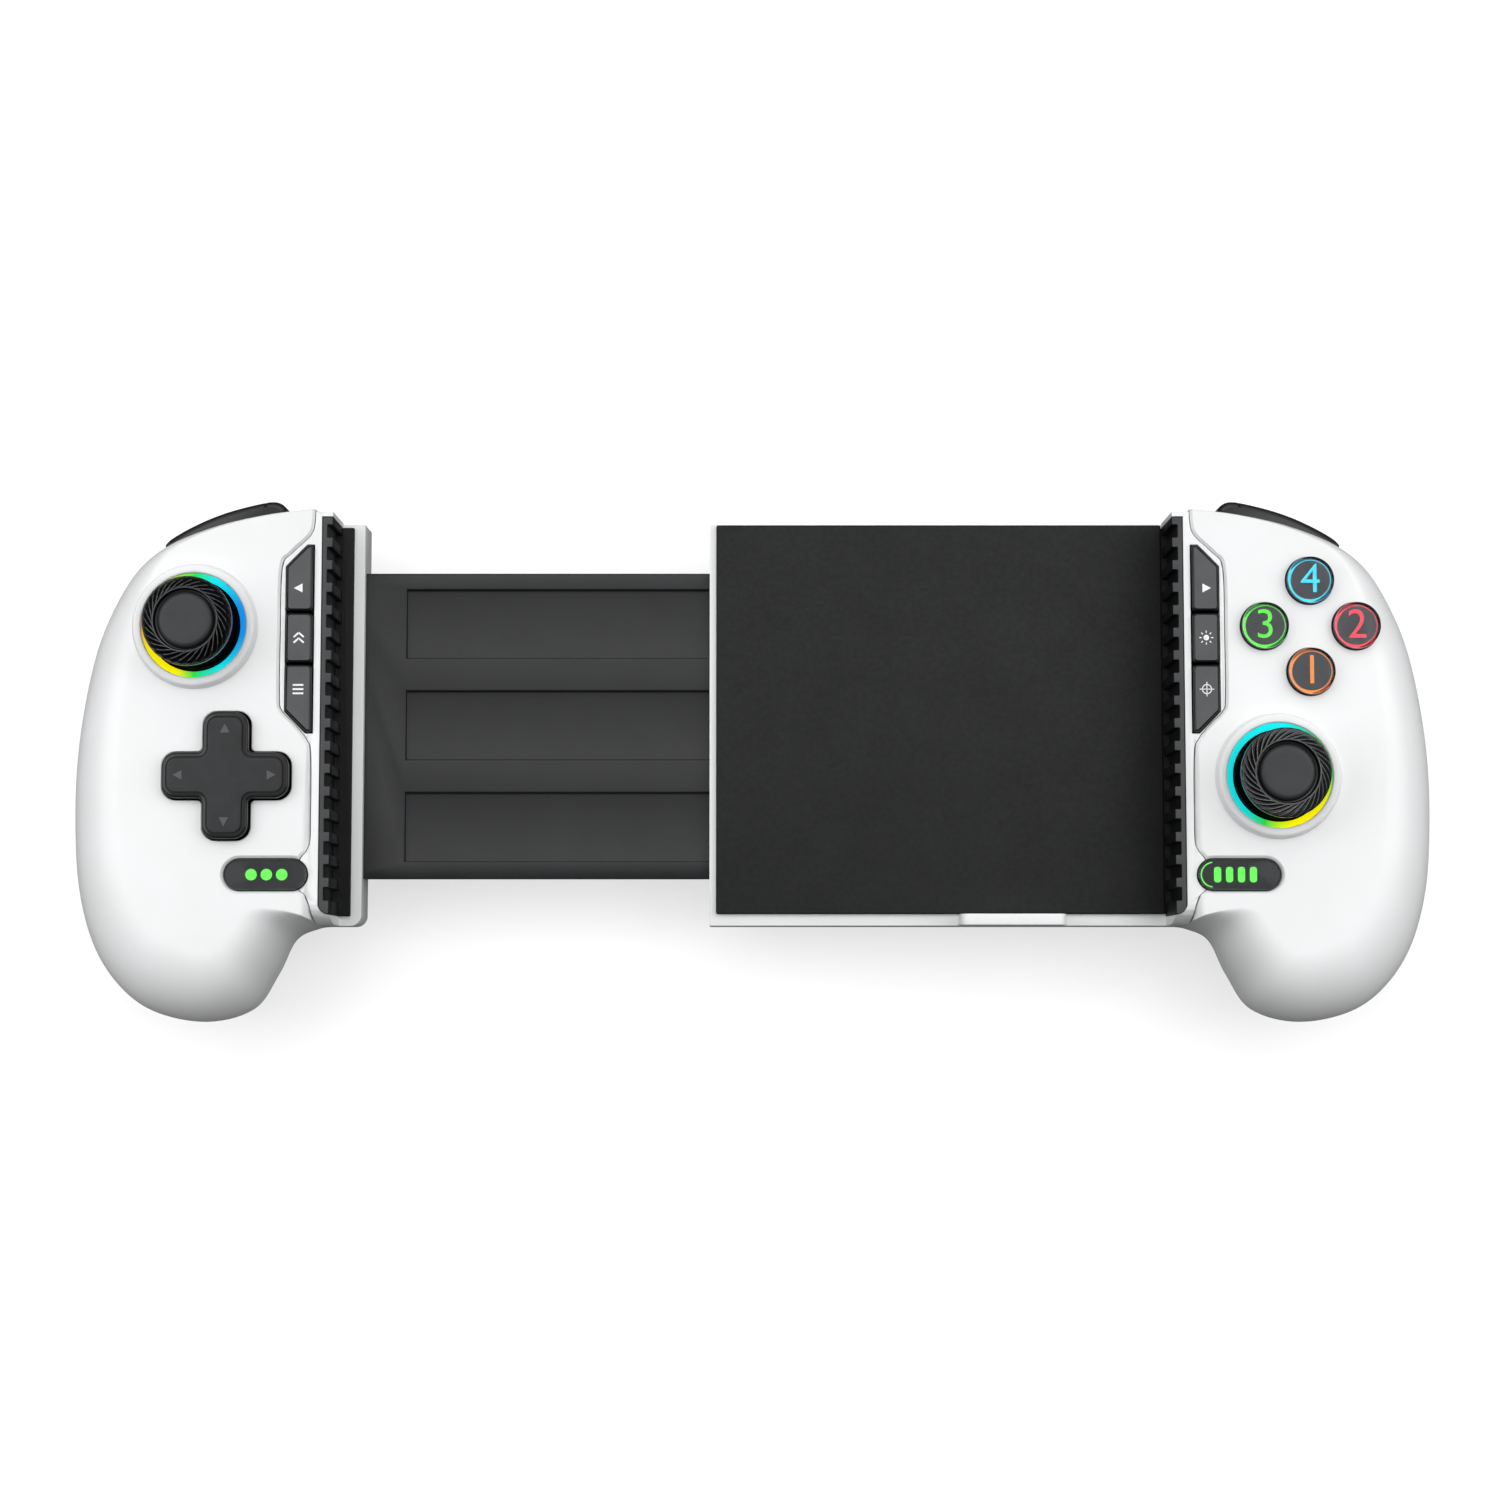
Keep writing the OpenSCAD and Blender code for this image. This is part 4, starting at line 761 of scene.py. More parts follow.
# %% Stick caps
PIVOT_Z, SKIRT_R, NECK_R, CAP_R, CAP_TOP, CAP_T, REST_R = 25.0, 10.5, 3.4, 7.9, 44.0, 4.0, 4.9
VANES, VANE_DEPTH, VANE_SWEEP, CAP_STEPS, CREST = 30, 0.65, 0.85, 600, 0.75
under = CAP_TOP - CAP_T
cap_profile = arc((0, PIVOT_Z), SKIRT_R - 1, 16, 16, 0) + arc((0, PIVOT_Z), SKIRT_R, 16, 71, 11)
cap_profile += [(NECK_R, under - 0.6)] + arc((NECK_R + 0.6, under - 0.6), 0.6, 180, 90, 4)
cap_profile += arc((CAP_R - 0.9, under + 0.9), 0.9, -90, 0, 5) + [(CAP_R, under + 1.5)]
rim_start = len(cap_profile)
rim = [(CAP_R, -2.1), (CAP_R - 0.12, -1.6), (7.2, -1), (6.5, -0.5), (5.95, -0.13), (5.7, 0)]
cap_profile += raised(spline(rim, 4), CAP_TOP)
rim_end = len(cap_profile)
cap_profile += raised([(5.55, -0.1), (5.48, -0.6), (5.3, -1.2), (5.0, -1.3)], CAP_TOP)
rest_start = len(cap_profile)
cap_profile += arc((REST_R - 0.9, CAP_TOP - 1.2), 0.9, 0, 90, 8)
cap_profile += raised([(3.2, -0.31), (2.2, -0.33), (1.0, -0.34), (0.0, -0.34)], CAP_TOP)

# A vane rises slowly and drops quickly; its rings are twisted, so that mesh lines follow it
rings = np.arange(len(cap_profile))
share = np.clip((rings - rim_start) / (rim_end - 1 - rim_start), 0, 1)[:, None]
phase = np.arange(CAP_STEPS) * VANES / CAP_STEPS % 1
vane = np.minimum(phase / CREST, (1 - phase) / (1 - CREST))
relief = -VANE_DEPTH * np.sqrt(np.sin(math.pi * share)) * (1 - vane)
# Painted highlights: the vanes' crests are painted pale, more widely towards the middle, and so are the rim's
# outer edge and its innermost rings
FIRST_GLINT_RING, GLINT_RINGS_FROM = rim_start + 3, rim_end - 5
from_crest = np.abs(phase - CREST + 0.05)
glint_width = 0.2 * (rings - FIRST_GLINT_RING) / (rim_end - FIRST_GLINT_RING)
for side, word in SIDES.items():
    verts, faces = turned(cap_profile, STICK_AT[side], CAP_STEPS, relief, side * VANE_SWEEP * share)
    kinds = []
    for face in faces:
        ring, step = divmod(face[0], CAP_STEPS)
        # Crest faces, the rim's outer edge and the inner rim rings take the painted highlight
        glinting = ring >= GLINT_RINGS_FROM or ring == rim_start - 1 or from_crest[step] < glint_width[ring]
        kinds.append(1 if ring >= rest_start else 2 * int(ring < rim_end and glinting))
    add_piece(word + "_thumb_cap", (verts, faces), [rubber_ridge, rubber_rest, rubber_painted_glint],
              word + "_stick_cap", side, [word + "_stick_cap"], kinds, 50)
    print(word, "cap", len(verts), "points")


# %% [markdown]
# ## Direction pad
# One cross moulding with polished black flanks and a rounded edge. A fine groove sets off the satin face
# plate. Four small arrows stand on it.

# %% Direction pad
DPAD_TOP = node_z("dpad")[1]
PAD_EDGE, PAD_STEP, PAD_LOW = 0.45, 0.3, FACE_Z - 2.2
levels = arc((PAD_EDGE, -PAD_STEP - PAD_EDGE), PAD_EDGE, 180, 90, 5)
levels += [(0.8, -0.28), (0.85, -0.5), (0.98, -0.5), (1.02, -0.12), (1.12, -0.02), (1.3, 0), (1.6, 0)]
levels = [(0, PAD_LOW)] + raised(levels, DPAD_TOP)
verts, faces = stack(cross_hole(DPAD_AT, DPAD_L, DPAD_W), levels)
plate_start = len(verts) // len(levels) * 9
kinds = [int(i >= plate_start) for i in range(len(faces) - 2)] + [0, 1]
add_piece("direction_cross", (verts, faces), [abs_black, abs_pad], "dpad", LEFT, ["dpad"], kinds)
print("cross", len(verts), "points")

# %% [markdown]
# ## Printed and raised marks
# Legends are screen prints a few hundredths of a millimetre thick. Each mark is a flat outline that is
# thickened just enough to lie on its key. The marks are plain signs: arrows, bars, dots, a sun, a
# cross-hair and numerals.

# %% Helpers for marks


def mark(name, shapes, z, finish, body, side, thick=0.03):
    """One piece from several flat outlines in the grip's frame, lying at height z."""
    levels = (z - thick, z + thick)
    plates = [loft([at_height(np.array(shape), level) for level in levels]) for shape in shapes]
    return add_piece(name, joined(plates), [finish], body, side)


def dot(at, radius):
    return round_hole(np.array(at), radius)(0)[::3]


def stroke(a, b, width):
    """A straight stroke with square ends."""
    a, b = np.array(a, float), np.array(b, float)
    across = np.array([a[1] - b[1], b[0] - a[0]]) / np.linalg.norm(b - a) * width / 2
    return [a - across, b - across, b + across, a + across]


def hoop(at, radius, width, pieces=24):
    """A ring as a run of short strokes."""
    angles = np.linspace(0, 2 * math.pi, pieces + 1)
    rim_points = np.array(at) + radius * np.column_stack([np.cos(angles), np.sin(angles)])
    return [stroke(p, q + (q - p) * 0.08, width) for p, q in zip(rim_points, rim_points[1:])]


def arrow(at, size, direction):
    """A small triangle that points along the direction."""
    d = np.array(direction, float)
    across = np.array([-d[1], d[0]])
    return np.array(at) + size * np.array([d, -0.6 * d + 0.85 * across, -0.6 * d - 0.85 * across])


ARROW_OUT = 8.1
for k, direction in enumerate([(0, 1), (-1, 0), (0, -1), (1, 0)]):
    sign = arrow(DPAD_AT + ARROW_OUT * np.array(direction), 1.0, direction)
    mark(f"direction_arrow_{k}", [sign], DPAD_TOP - 0.02, abs_grey, "dpad", LEFT, 0.1)
print("arrows on the cross")

# %% [markdown]
# ## Function keys
# Three keys stand in a row in each inner panel; the end ones have a slanted corner. Their flanks are polished
# black and their faces satin grey, so a key is one loft whose last face takes the second finish.

# %% Function keys
KEY_X, KEY_W, KEY_ENDS, KEY_CHAMFER, KEY_BREAK = 1.4, 4.7, [37, 25.05, 15.8, 3.6], 3.8, 0.35
KEY_LOW, KEY_TOP = node_z("right_key_middle")
KEY_NAMES = ("upper", "middle", "lower")


def key_corners(i):
    """Corners of a key and their radii, which are small beside the slanted corner's short edge."""
    x0, x1 = KEY_X, KEY_X + KEY_W
    slant = x1 - KEY_CHAMFER
    y1 = KEY_ENDS[i] - (0 if i == 0 else KEY_BREAK / 2)
    y0 = KEY_ENDS[i + 1] + (0 if i == 2 else KEY_BREAK / 2)
    if i == 0:
        return [(x0, y0), (x1, y0), (x1, y1 - KEY_CHAMFER), (slant, y1), (x0, y1)], [0.8, 0.8, 0.8, 0.5, 0.4]
    if i == 2:
        return [(x0, y0), (slant, y0), (x1, y0 + KEY_CHAMFER), (x1, y1), (x0, y1)], [0.4, 0.5, 0.8, 0.8, 0.8]
    return [(x0, y0), (x1, y0), (x1, y1), (x0, y1)], [0.8] * 4


levels = raised([(0, -0.5), (0.07, -0.25), (0.2, -0.1), (0.35, -0.05), (0.42, 0), (0.55, 0)], KEY_TOP)
levels = [(0, KEY_LOW)] + levels
for side, word in SIDES.items():
    for i, name in enumerate(KEY_NAMES):
        body = f"{word}_key_{name}"
        verts, faces = stack(lambda grow: rounded(*key_corners(i), -grow), levels)
        face_ring = len(verts) // len(levels)
        kinds = [0] * (len(faces) - face_ring - 2) + [1] * face_ring + [0, 1]
        add_piece(body + "_cap", (verts, faces), [abs_black, abs_grey], body, side, [body], kinds)
print("function keys: 6")

# %% Legends of the function keys
KEY_MID = KEY_X + KEY_W / 2
upper_y, middle_y, lower_y = 29.3, 20.4, 11.2
sun_at, hair_at = np.array([KEY_MID, middle_y]), np.array([KEY_MID, lower_y])
rays = [np.array([math.cos(a), math.sin(a)]) for a in np.radians(range(0, 360, 45))]
legends = {
    (LEFT, "upper"): [arrow((KEY_MID, upper_y), 0.95, (1, 0))],
    (LEFT, "middle"): [stroke((KEY_MID + s * 0.9, middle_y + d - 0.45), (KEY_MID, middle_y + d + 0.35), 0.32)
                       for s in (-1, 1) for d in (-0.45, 0.55)],
    (LEFT, "lower"): [stroke((KEY_MID - 0.95, lower_y + d), (KEY_MID + 0.95, lower_y + d), 0.32)
                      for d in (-0.75, 0, 0.75)],
    (RIGHT, "upper"): [arrow((KEY_MID, upper_y), 0.95, (1, 0))],
    (RIGHT, "middle"): [dot(sun_at, 0.5)] + [stroke(sun_at + 0.85 * r, sun_at + 1.25 * r, 0.18)
                                             for r in rays],
    (RIGHT, "lower"): hoop(hair_at, 0.82, 0.17) + [stroke(hair_at - 1.3 * r, hair_at + 1.3 * r, 0.15)
                                                   for r in (np.array([1, 0]), np.array([0, 1]))],
}
for (side, name), shapes in legends.items():
    body = f"{SIDES[side]}_key_{name}"
    mark(body + "_legend", shapes, KEY_TOP, ink_white, body, side)
print("legends:", len(legends))

# %% [markdown]
# ## Long keys
# Each long key is a clear lens over a dark core with a green luminous print. Lens and core are lofts of the
# same rounded bar. The core's flank is black, so the lens shows a dark rim; the right one is lit along its
# inner end.

# %% Long keys
PILL_LOW, PILL_TOP = node_z("right_pill_key")
LENS_T, LIT_TO = 0.75, PILL_AT[0] - 4.8
core_top = PILL_TOP - LENS_T
pill = long_hole(PILL_AT, PILL_L, PILL_W)
core = stack(pill, [(0.05, PILL_LOW), (0.05, core_top - 0.1), (0.2, core_top)])
core_kinds = [0] * (len(core[1]) - 1) + [1]
lens_levels = raised([(-0.1, -0.4), (-0.04, -0.2), (0.1, -0.06), (0.32, 0)], PILL_TOP)
lens = stack(pill, [(0, core_top + 0.05)] + lens_levels)
guide = pill(-0.5)
lit_end = [stroke(p, q, 0.2) for p, q in zip(guide, np.roll(guide, -1, 0)) if max(p[0], q[0]) < LIT_TO]
bars = [rounded(bar_corners(PILL_AT + (-3.9 + 2.1 * k, 0), 1.25, 2.7), 0.5, steps=4) for k in range(4)]
prints = {RIGHT: lit_end + bars, LEFT: [dot(PILL_AT + (x, 0), 1.0) for x in (-2.9, -0.2, 2.5)]}
for side, word in SIDES.items():
    body = word + "_pill_key"
    add_piece(body + "_core", core, [abs_black, abs_pad], body, side, [body], core_kinds)
    add_piece(body + "_lens", lens, [acrylic], body, side)
    mark(body + "_print", prints[side], core_top + 0.01, ink_green, body, side)
print("long keys: 2")

# %% [markdown]
# ## Face buttons
# Four clear round buttons stand in a diamond. Light from the coloured numeral runs round inside the
# acrylic; that glow is painted on a ring round each core, dim on its wall and bright at its top edge, and a
# thin black cup closes it below. Numerals come from the built-in font, as thin plates.

# %% Face buttons
BUTTON_LOW, BUTTON_TOP = node_z("face_button_top")
CORE_R, CORE_TOP, FLANGE_R, FLANGE_T, STEM_R, STEM_L = 3.6, FACE_Z + 0.9, 5.05, 0.9, 2.4, 8
NUMERAL = {"bottom": "1", "right": "2", "left": "3", "top": "4"}
# Height of a numeral, and the built-in font's size over it
NUMERAL_H, FONT_SCALE = 4.8, 1.55
flange, well_r, wall_r, cup_r = BUTTON_LOW + FLANGE_T, CORE_R + 0.1, CORE_R + 0.12, BUTTON_R - 0.06
button_lens = [(0, CORE_TOP + 0.12), (well_r, CORE_TOP + 0.12), (well_r, BUTTON_LOW), (FLANGE_R, BUTTON_LOW),
               (FLANGE_R, flange), (BUTTON_R, flange), (BUTTON_R, BUTTON_TOP - 0.6)]
button_lens += arc((BUTTON_R - 0.6, BUTTON_TOP - 0.6), 0.6, 15, 90) + [(2.4, BUTTON_TOP), (0, BUTTON_TOP)]
button_core = raised([(0, -STEM_L), (STEM_R, -STEM_L), (STEM_R, 0.1), (CORE_R, 0.1)], BUTTON_LOW)
button_core += raised([(CORE_R, -0.15), (CORE_R - 0.15, 0), (0, 0)], CORE_TOP)
button_cup = raised([(wall_r, -1.2), (cup_r, -1.2), (cup_r, -0.2), (cup_r - 0.06, -0.2),
                     (cup_r - 0.06, -1.14), (wall_r, -1.14), (wall_r, -1.2)], FACE_Z)
# A ring round the core painted with the glow of light inside the acrylic: dim on its wall, bright along its
# top edge.
button_band = [(CORE_R + reach, CORE_TOP + z) for reach, z in (
    (0.02, -1.6), (0.07, -1.6), (0.07, -0.05), (-0.04, 0.06), (-0.16, 0.06), (0.02, -0.15), (0.02, -1.6))]
BAND_STEPS = 72
band_kinds = np.repeat([1, 1, 1, 0, 0, 1], BAND_STEPS).tolist()


def numeral(name, text, at, z, finish, body):
    """A numeral from the built-in font, centred on its button."""
    curve = bpy.data.curves.new(name, "FONT")
    curve.body = text
    curve.align_x = "CENTER"
    curve.align_y = "CENTER"
    curve.size = NUMERAL_H * FONT_SCALE * MM
    curve.extrude = 0.02 * MM
    curve.offset = -0.006 * NUMERAL_H * MM
    letter = new_object(name, curve)
    letter.location = Vector((JAW_X + at[0], at[1], z)) * MM
    bpy.context.view_layer.update()
    mesh = bpy.data.meshes.new_from_object(letter.evaluated_get(bpy.context.evaluated_depsgraph_get()))
    mesh.transform(letter.matrix_world)
    bpy.data.objects.remove(letter)
    coat(mesh, [finish])
    return enrol(new_object(name, mesh), body)


for spot, at in BUTTONS.items():
    body, ink = "face_button_" + spot, button_ink_and_glow[spot]
    add_piece(body + "_lens", turned(button_lens, at, 96), [acrylic], body, RIGHT, [body])
    add_piece(body + "_core", turned(button_core, at, BAND_STEPS), [abs_grey], body, RIGHT,
              ["face_core_" + spot])
    add_piece(body + "_cup", turned(button_cup, at, BAND_STEPS), [abs_black], body, RIGHT)
    # The band carries the painted glow: its wall in the dim colour, its top edge in the numeral's ink.
    add_piece(body + "_band", turned(button_band, at, BAND_STEPS), [ink, rim_painted_glow[spot]], body,
              RIGHT, kinds=band_kinds)
    numeral(body + "_numeral", NUMERAL[spot], at, CORE_TOP + 0.04, ink, body)
print("face buttons:", len(BUTTONS))

# %% [markdown]
# ## Bumpers and triggers
# The bumper is a polished bar that follows the shoulder's curve and swells near its inner end. The trigger
# behind it is a lever with a hollow finger rest that flares at its tip. Both are lofts of their outlines with
# soft edges: the bumper upwards through the grip's depth, the trigger across its width.

# %% Bumpers
BUMPER_RISE = [(-1, 0.3), (-0.97, 1.1), (-0.9, 1.8), (-0.8, 2.15), (-0.6, 2.3), (0, 2.15), (0.5, 1.6),
               (0.87, 0.9), (1, 0.25)]
STEP_AT, STEP_W, STEP_H, BACK_STEPS, BUMPER_EDGE = -0.76, 0.05, 0.4, 97, 0.9
low_z, high_z = BUMPER_Z


def on_arc(x, rise):
    return np.column_stack([x, np.sqrt((SHOULDER_ARC + rise) ** 2 - x**2) - SHOULDER_ARC])


def bumper_loop(inset, z):
    """One level of the bumper; outside the step its front face lies a little lower."""
    rise = spline(BUMPER_RISE, 16)
    along = np.concatenate([rise[:, 0], np.linspace(1, -1, BACK_STEPS)])
    out = np.concatenate([np.maximum(rise[:, 1] - inset, 0.1), np.full(BACK_STEPS, -BUMPER_IN)])
    drop = STEP_H * np.clip((along - STEP_AT) / STEP_W, 0, 1) * (z - low_z) / (high_z - low_z)
    return to_shoulder(np.column_stack([on_arc(along * (BUMPER_HALF - inset) + BUMPER_AT, out), z - drop]))


corner = arc((BUMPER_EDGE, BUMPER_EDGE), BUMPER_EDGE, -90, -180, 5)
levels = raised(corner, low_z) + [(inset, high_z - drop) for inset, drop in corner[::-1]]
bumper = loft([bumper_loop(*level) for level in levels])
for side, word in SIDES.items():
    body = word + "_bumper"
    add_piece(body + "_bar", bumper, [abs_black], body, side, [body])
print("bumper levels:", len(levels))

# %% Triggers
TRIGGER_OUTER = [(0.4, 17.5), (2.6, 16.6), (3.7, 13.6), (3.4, 10), (2.4, 6.4), (2.2, 3.4), (3.3, 1)]
TRIGGER_INNER = [(2.4, 0), (-0.4, 1.2), (-2.4, 4.6), (-3.6, 8.4), (-4.2, 12), (-3.9, 14), (-3, 17.2)]
TRIGGER_HOLLOW = [(-6, 3.4), (0.4, 3.4), (0.7, 6.6), (1.8, 10), (1.6, 12.2), (-6, 12.2)]
TRIGGER_RISE = [(-1, 0.9), (-0.88, 2.2), (-0.6, 3.3), (0, 3.9), (0.7, 3.2), (1, 1.4)]
CHEEK, ENDS = 1.5, [(0.0, 0.1), (0.2, 0.03)]
profile = np.vstack([spline(TRIGGER_OUTER, 6), spline(TRIGGER_INNER, 6)])
rise = spline(TRIGGER_RISE, 8)


def trigger_loop(x, shrink):
    """The trigger's side profile at one place across its width."""
    limit = on_arc(np.array([x + TRIGGER_AT]), np.interp(x / TRIGGER_HALF, rise[:, 0], rise[:, 1]))[0][1]
    middle = profile.mean(axis=0)
    points = middle + (profile - middle) * (1 - shrink)
    points[:, 0] = np.minimum(points[:, 0], limit)
    return to_shoulder(np.column_stack([np.full(len(points), x + TRIGGER_AT), points]))


stations = [(from_end - TRIGGER_HALF, shrink) for from_end, shrink in ENDS]
stations += [(x, 0) for x in np.linspace(-TRIGGER_HALF + 0.6, TRIGGER_HALF - 0.6, 25)]
stations += [(TRIGGER_HALF - from_end, shrink) for from_end, shrink in ENDS[::-1]]
hollows = [[to_shoulder([(x + TRIGGER_AT, y, z) for y, z in TRIGGER_HOLLOW]) for x in ends]
           for ends in ((-TRIGGER_HALF + CHEEK, -CHEEK / 2), (CHEEK / 2, TRIGGER_HALF - CHEEK))]
for side, word in SIDES.items():
    body = word + "_trigger"
    lever = add_piece(body + "_lever", loft([trigger_loop(*s) for s in stations]), [abs_black], body,
                      side, [body])
    cut(lever, hollows, side)
    print(lever.name, len(lever.data.polygons), "faces")


# %% [markdown]
# ## Bridge
# The sleeve is a flat white tube that belongs to the right half, with a rubber floor on its front and a small
# lug at its lower edge. The slider of the left half runs in it. These are plain moulded shapes, so the packed
# solids are kept and get rounded edges.

# %% Bridge
from_node("bridge_tube", "bridge_sleeve", [abs_white], "right_grip", 0.5)
from_node("bay_floor", "bridge_pad", [rubber_floor_and_shadow_strip], "right_grip", 0.35)
from_node("slider_bar", "slider_plate", [nylon_black], "left_grip", 0.3)
print("bridge: tube, floor and slider")

# %% [markdown]
# ### Return springs and cable
# Two wire springs inside the sleeve pull the halves together, and a flat cable joins their boards. A spring
# is a wire swept along a helix, so it is drawn as one.

# %% Return springs and cable
TURNS, COIL_R, WIRE_R, TURN_STEPS, WIRE_SIDES = 28, 1.65, 0.3, 20, 8
low, high = node_box("bridge_springs")
along = np.linspace(0, 1, TURNS * TURN_STEPS + 1)
winding = 2 * math.pi * TURNS * along
spin = np.column_stack([np.zeros(len(along)), np.cos(winding), np.sin(winding)])
wire = np.linspace(0, 2 * math.pi, WIRE_SIDES, endpoint=False)
coils = []
for y in (low[1] + COIL_R + WIRE_R, high[1] - COIL_R - WIRE_R):
    axis_x = low[0] + WIRE_R + along * (high[0] - low[0] - 2 * WIRE_R)
    axis_at = np.column_stack([axis_x, np.full(len(along), y), np.full(len(along), (low[2] + high[2]) / 2)])
    lines = [axis_at + spin * (COIL_R + WIRE_R * math.cos(a)) + (WIRE_R * math.sin(a), 0, 0) for a in wire]
    coils.append((np.stack(lines, axis=1).reshape(-1, 3), quads(len(along), WIRE_SIDES)))
springs = add_piece("return_springs", joined(coils), [steel], "right_grip",
                    nodes=["bridge_springs"])
cable = from_node("flat_cable", "bridge_cable", [film_amber], "right_grip", 0.05)
for piece, node in ((springs, "bridge_springs"), (cable, "bridge_cable")):
    low, high = node_box(node)
    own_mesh(piece)
    print(piece.name, len(piece.data.vertices), "points")


# %% [markdown]
# ## Screws
# Cross-recessed steel screws hold the shells together from the back. Only their heads show, at the bottom of
# the wells, so each is a turned head with a cross cut into it.

# %% Screws
HEAD_Z, HEAD_T, HEAD_R, HEAD_EDGE, SHANK_R, SHANK_END = 12.4, 2.0, 2.2, 0.7, 1.2, 24.0
RECESS_L, RECESS_W, RECESS_T = 2.4, 0.55, 0.9
head_low, flat_r = HEAD_Z - HEAD_T, HEAD_R - HEAD_EDGE
screw = [(0, head_low), (flat_r, head_low)] + arc((flat_r, head_low + HEAD_EDGE), HEAD_EDGE, -90, 0, 4)
screw += [(HEAD_R, HEAD_Z), (SHANK_R, HEAD_Z), (SHANK_R, SHANK_END), (0, SHANK_END)]
recesses = [[at_height(bar_corners(at, *size), z) for z in (head_low - OVER, head_low + RECESS_T)]
            for at in SCREWS_AT for size in ((RECESS_L, RECESS_W), (RECESS_W, RECESS_L))]
for side, word in SIDES.items():
    heads = add_piece(word + "_screw_set", joined([turned(screw, at, 40) for at in SCREWS_AT]), [steel],
                      word + "_grip", side, [word + "_screws"])
    cut(heads, recesses, side)
print("screws:", 2 * len(SCREWS_AT))

# %% [markdown]
# ## Pieces that stay as packed
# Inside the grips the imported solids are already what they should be. They keep their shape and get their own
# finish, because they show through the gaps when a joint moves.

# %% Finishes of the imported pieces
INNER_FINISH = {"stick_base": nylon_black, "stick_rocker": nylon_black, "stick_post": steel,
                "trigger_pin": steel, "boards": mask_green, "membrane": silicone_grey}
kept = {f"{word}_{name}": finish for word in SIDES.values() for name, finish in INNER_FINISH.items()}
kept.update({"usb_receptacle": steel, "dpad_spider": steel, "dpad_post": nylon_black, "battery": laminate})
for name, finish in kept.items():
    coat(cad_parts[name].data, [finish])
print("packed pieces with a finish:", len(kept))

# %% [markdown]
# ## Floor, light and camera
# The object lies on its back on a pale floor and is seen from above, a little from its lower side. A soft
# dome lights it, with one wide bright patch high beyond the shoulders, so the lower flanks of the grips
# fall into shade. Floor and surroundings are white only to the camera. A narrow strip light draws fine
# glints on the polished edges, and a soft box beside each grip lights its outer flank.

# %% Floor and surroundings
WHITE = srgb("#ffffff")
FLOOR_HALF, FLOOR_LOW = 3000, -0.3
AMBIENT, KEY_LIGHT, KEY_FOCUS, KEY_FROM = 0.18, 1.45, 4.0, (0.0, 0.5, 0.87)


def to_camera(tree, output, others, shown):
    """Shows one shader to the camera and lets all other rays meet another."""
    seen = add_node(tree, "ShaderNodeLightPath", out="Is Camera Ray")
    mixed = add_node(tree, "ShaderNodeMixShader", {0: seen, 1: others, 2: shown})
    feed(tree.nodes[output], {"Surface": mixed})


def pale_floor():
    """Paper: white to the camera, a quiet grey to the light that it throws back on the object."""
    finish, tree, surface, place = new_finish("paper_backdrop_white")
    fibre = add_node(tree, "ShaderNodeTexNoise", {"Vector": place, "Scale": 1 / (60 * MM)})
    pale = ramp(tree, fibre, [(0.3, srgb("#c1c1c2")), (0.7, srgb("#c3c3c3"))])
    lit = add_node(tree, "ShaderNodeBsdfDiffuse", {"Color": pale})
    lift = add_node(tree, "ShaderNodeEmission", {"Color": WHITE, "Strength": 0.62})
    quiet = add_node(tree, "ShaderNodeBsdfDiffuse", {"Color": srgb("#707070")})
    tree.nodes.remove(surface)
    to_camera(tree, "Material Output", quiet, add_node(tree, "ShaderNodeAddShader", {0: lit, 1: lift}))
    return finish


corners = at_height(bar_corners((0, 0), 2 * FLOOR_HALF, 2 * FLOOR_HALF), FLOOR_LOW)
floor = add_shape("floor", (corners, [(0, 1, 2, 3)]), [pale_floor()])

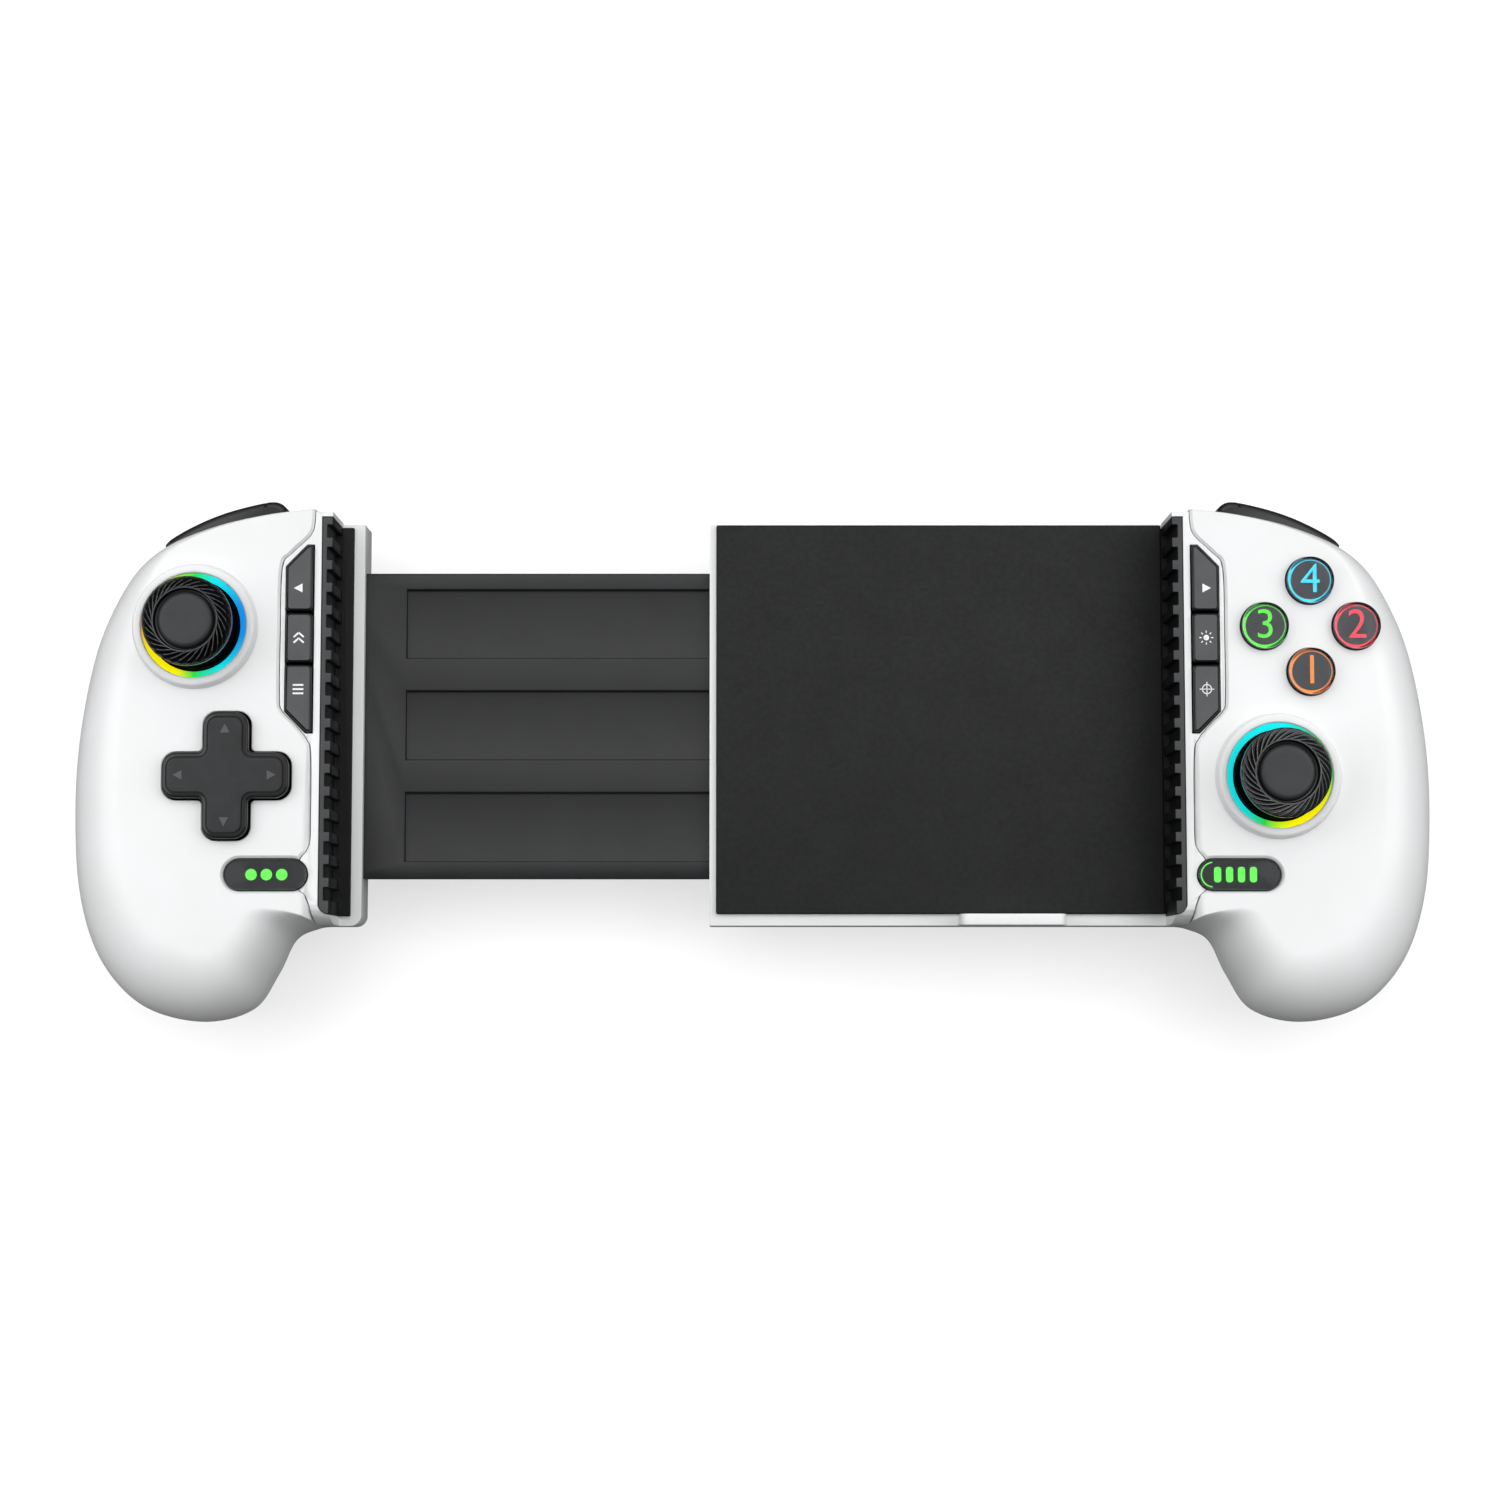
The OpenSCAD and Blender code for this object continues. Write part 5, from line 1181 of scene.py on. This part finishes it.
world = bpy.data.worlds.new("studio")
bpy.context.scene.world = world
world.use_nodes = True
tree = world.node_tree
direction = add_node(tree, "ShaderNodeTexCoord", out="Generated")
facing = add_node(tree, "ShaderNodeVectorMath", {0: direction, 1: KEY_FROM}, "Value", operation="DOT_PRODUCT")
front = add_node(tree, "ShaderNodeMath", {0: facing, 1: 0.0}, operation="MAXIMUM")
lobe = add_node(tree, "ShaderNodeMath", {0: front, 1: KEY_FOCUS}, operation="POWER")
level = add_node(tree, "ShaderNodeMath", {0: lobe, 1: KEY_LIGHT, 2: AMBIENT}, operation="MULTIPLY_ADD")
dome_light = tree.nodes["Background"]
feed(dome_light, {"Color": WHITE, "Strength": level})
white = add_node(tree, "ShaderNodeBackground", {"Color": WHITE, "Strength": 1.0})
to_camera(tree, "World Output", dome_light.outputs[0], white)
bpy.context.scene.view_settings.view_transform = "Standard"
print("floor and surroundings")

# %% Lights


def soft_light(name, place, aim, width, depth, power):
    data = bpy.data.lights.new(name, "AREA")
    data.shape = "RECTANGLE"
    data.size, data.size_y = width, depth
    data.energy = power
    lamp = new_object(name, data)
    lamp.location = place
    lamp.rotation_euler = (Vector(aim) - Vector(place)).to_track_quat("-Z", "Y").to_euler()
    lamp.visible_camera = False


soft_light("strip", (0.0, 0.5, 0.9), (0, 0, 0), 0.6, 0.05, 0.45)
for side, word in SIDES.items():
    soft_light(word + "_box", (side * 0.34, 0.05, 0.32), (side * 0.1, 0, 0.02), 0.3, 0.36, 0.68)

# %% Camera
CAMERA_AT, CAMERA_TILT, FOCAL_PIXELS, IMAGE_PIXELS, SENSOR_MM = (-0.44, -43.54, 554.0), 4.83, 2943, 1500, 36.0
view = bpy.data.cameras.new("front_view")
view.sensor_width = SENSOR_MM
view.lens = FOCAL_PIXELS / IMAGE_PIXELS * SENSOR_MM
camera = new_object("front_view", view)
camera.location = Vector(CAMERA_AT) * MM
camera.rotation_euler = (math.radians(CAMERA_TILT), 0, 0)
bpy.context.scene.camera = camera
print("camera lens", round(view.lens, 2), "mm")
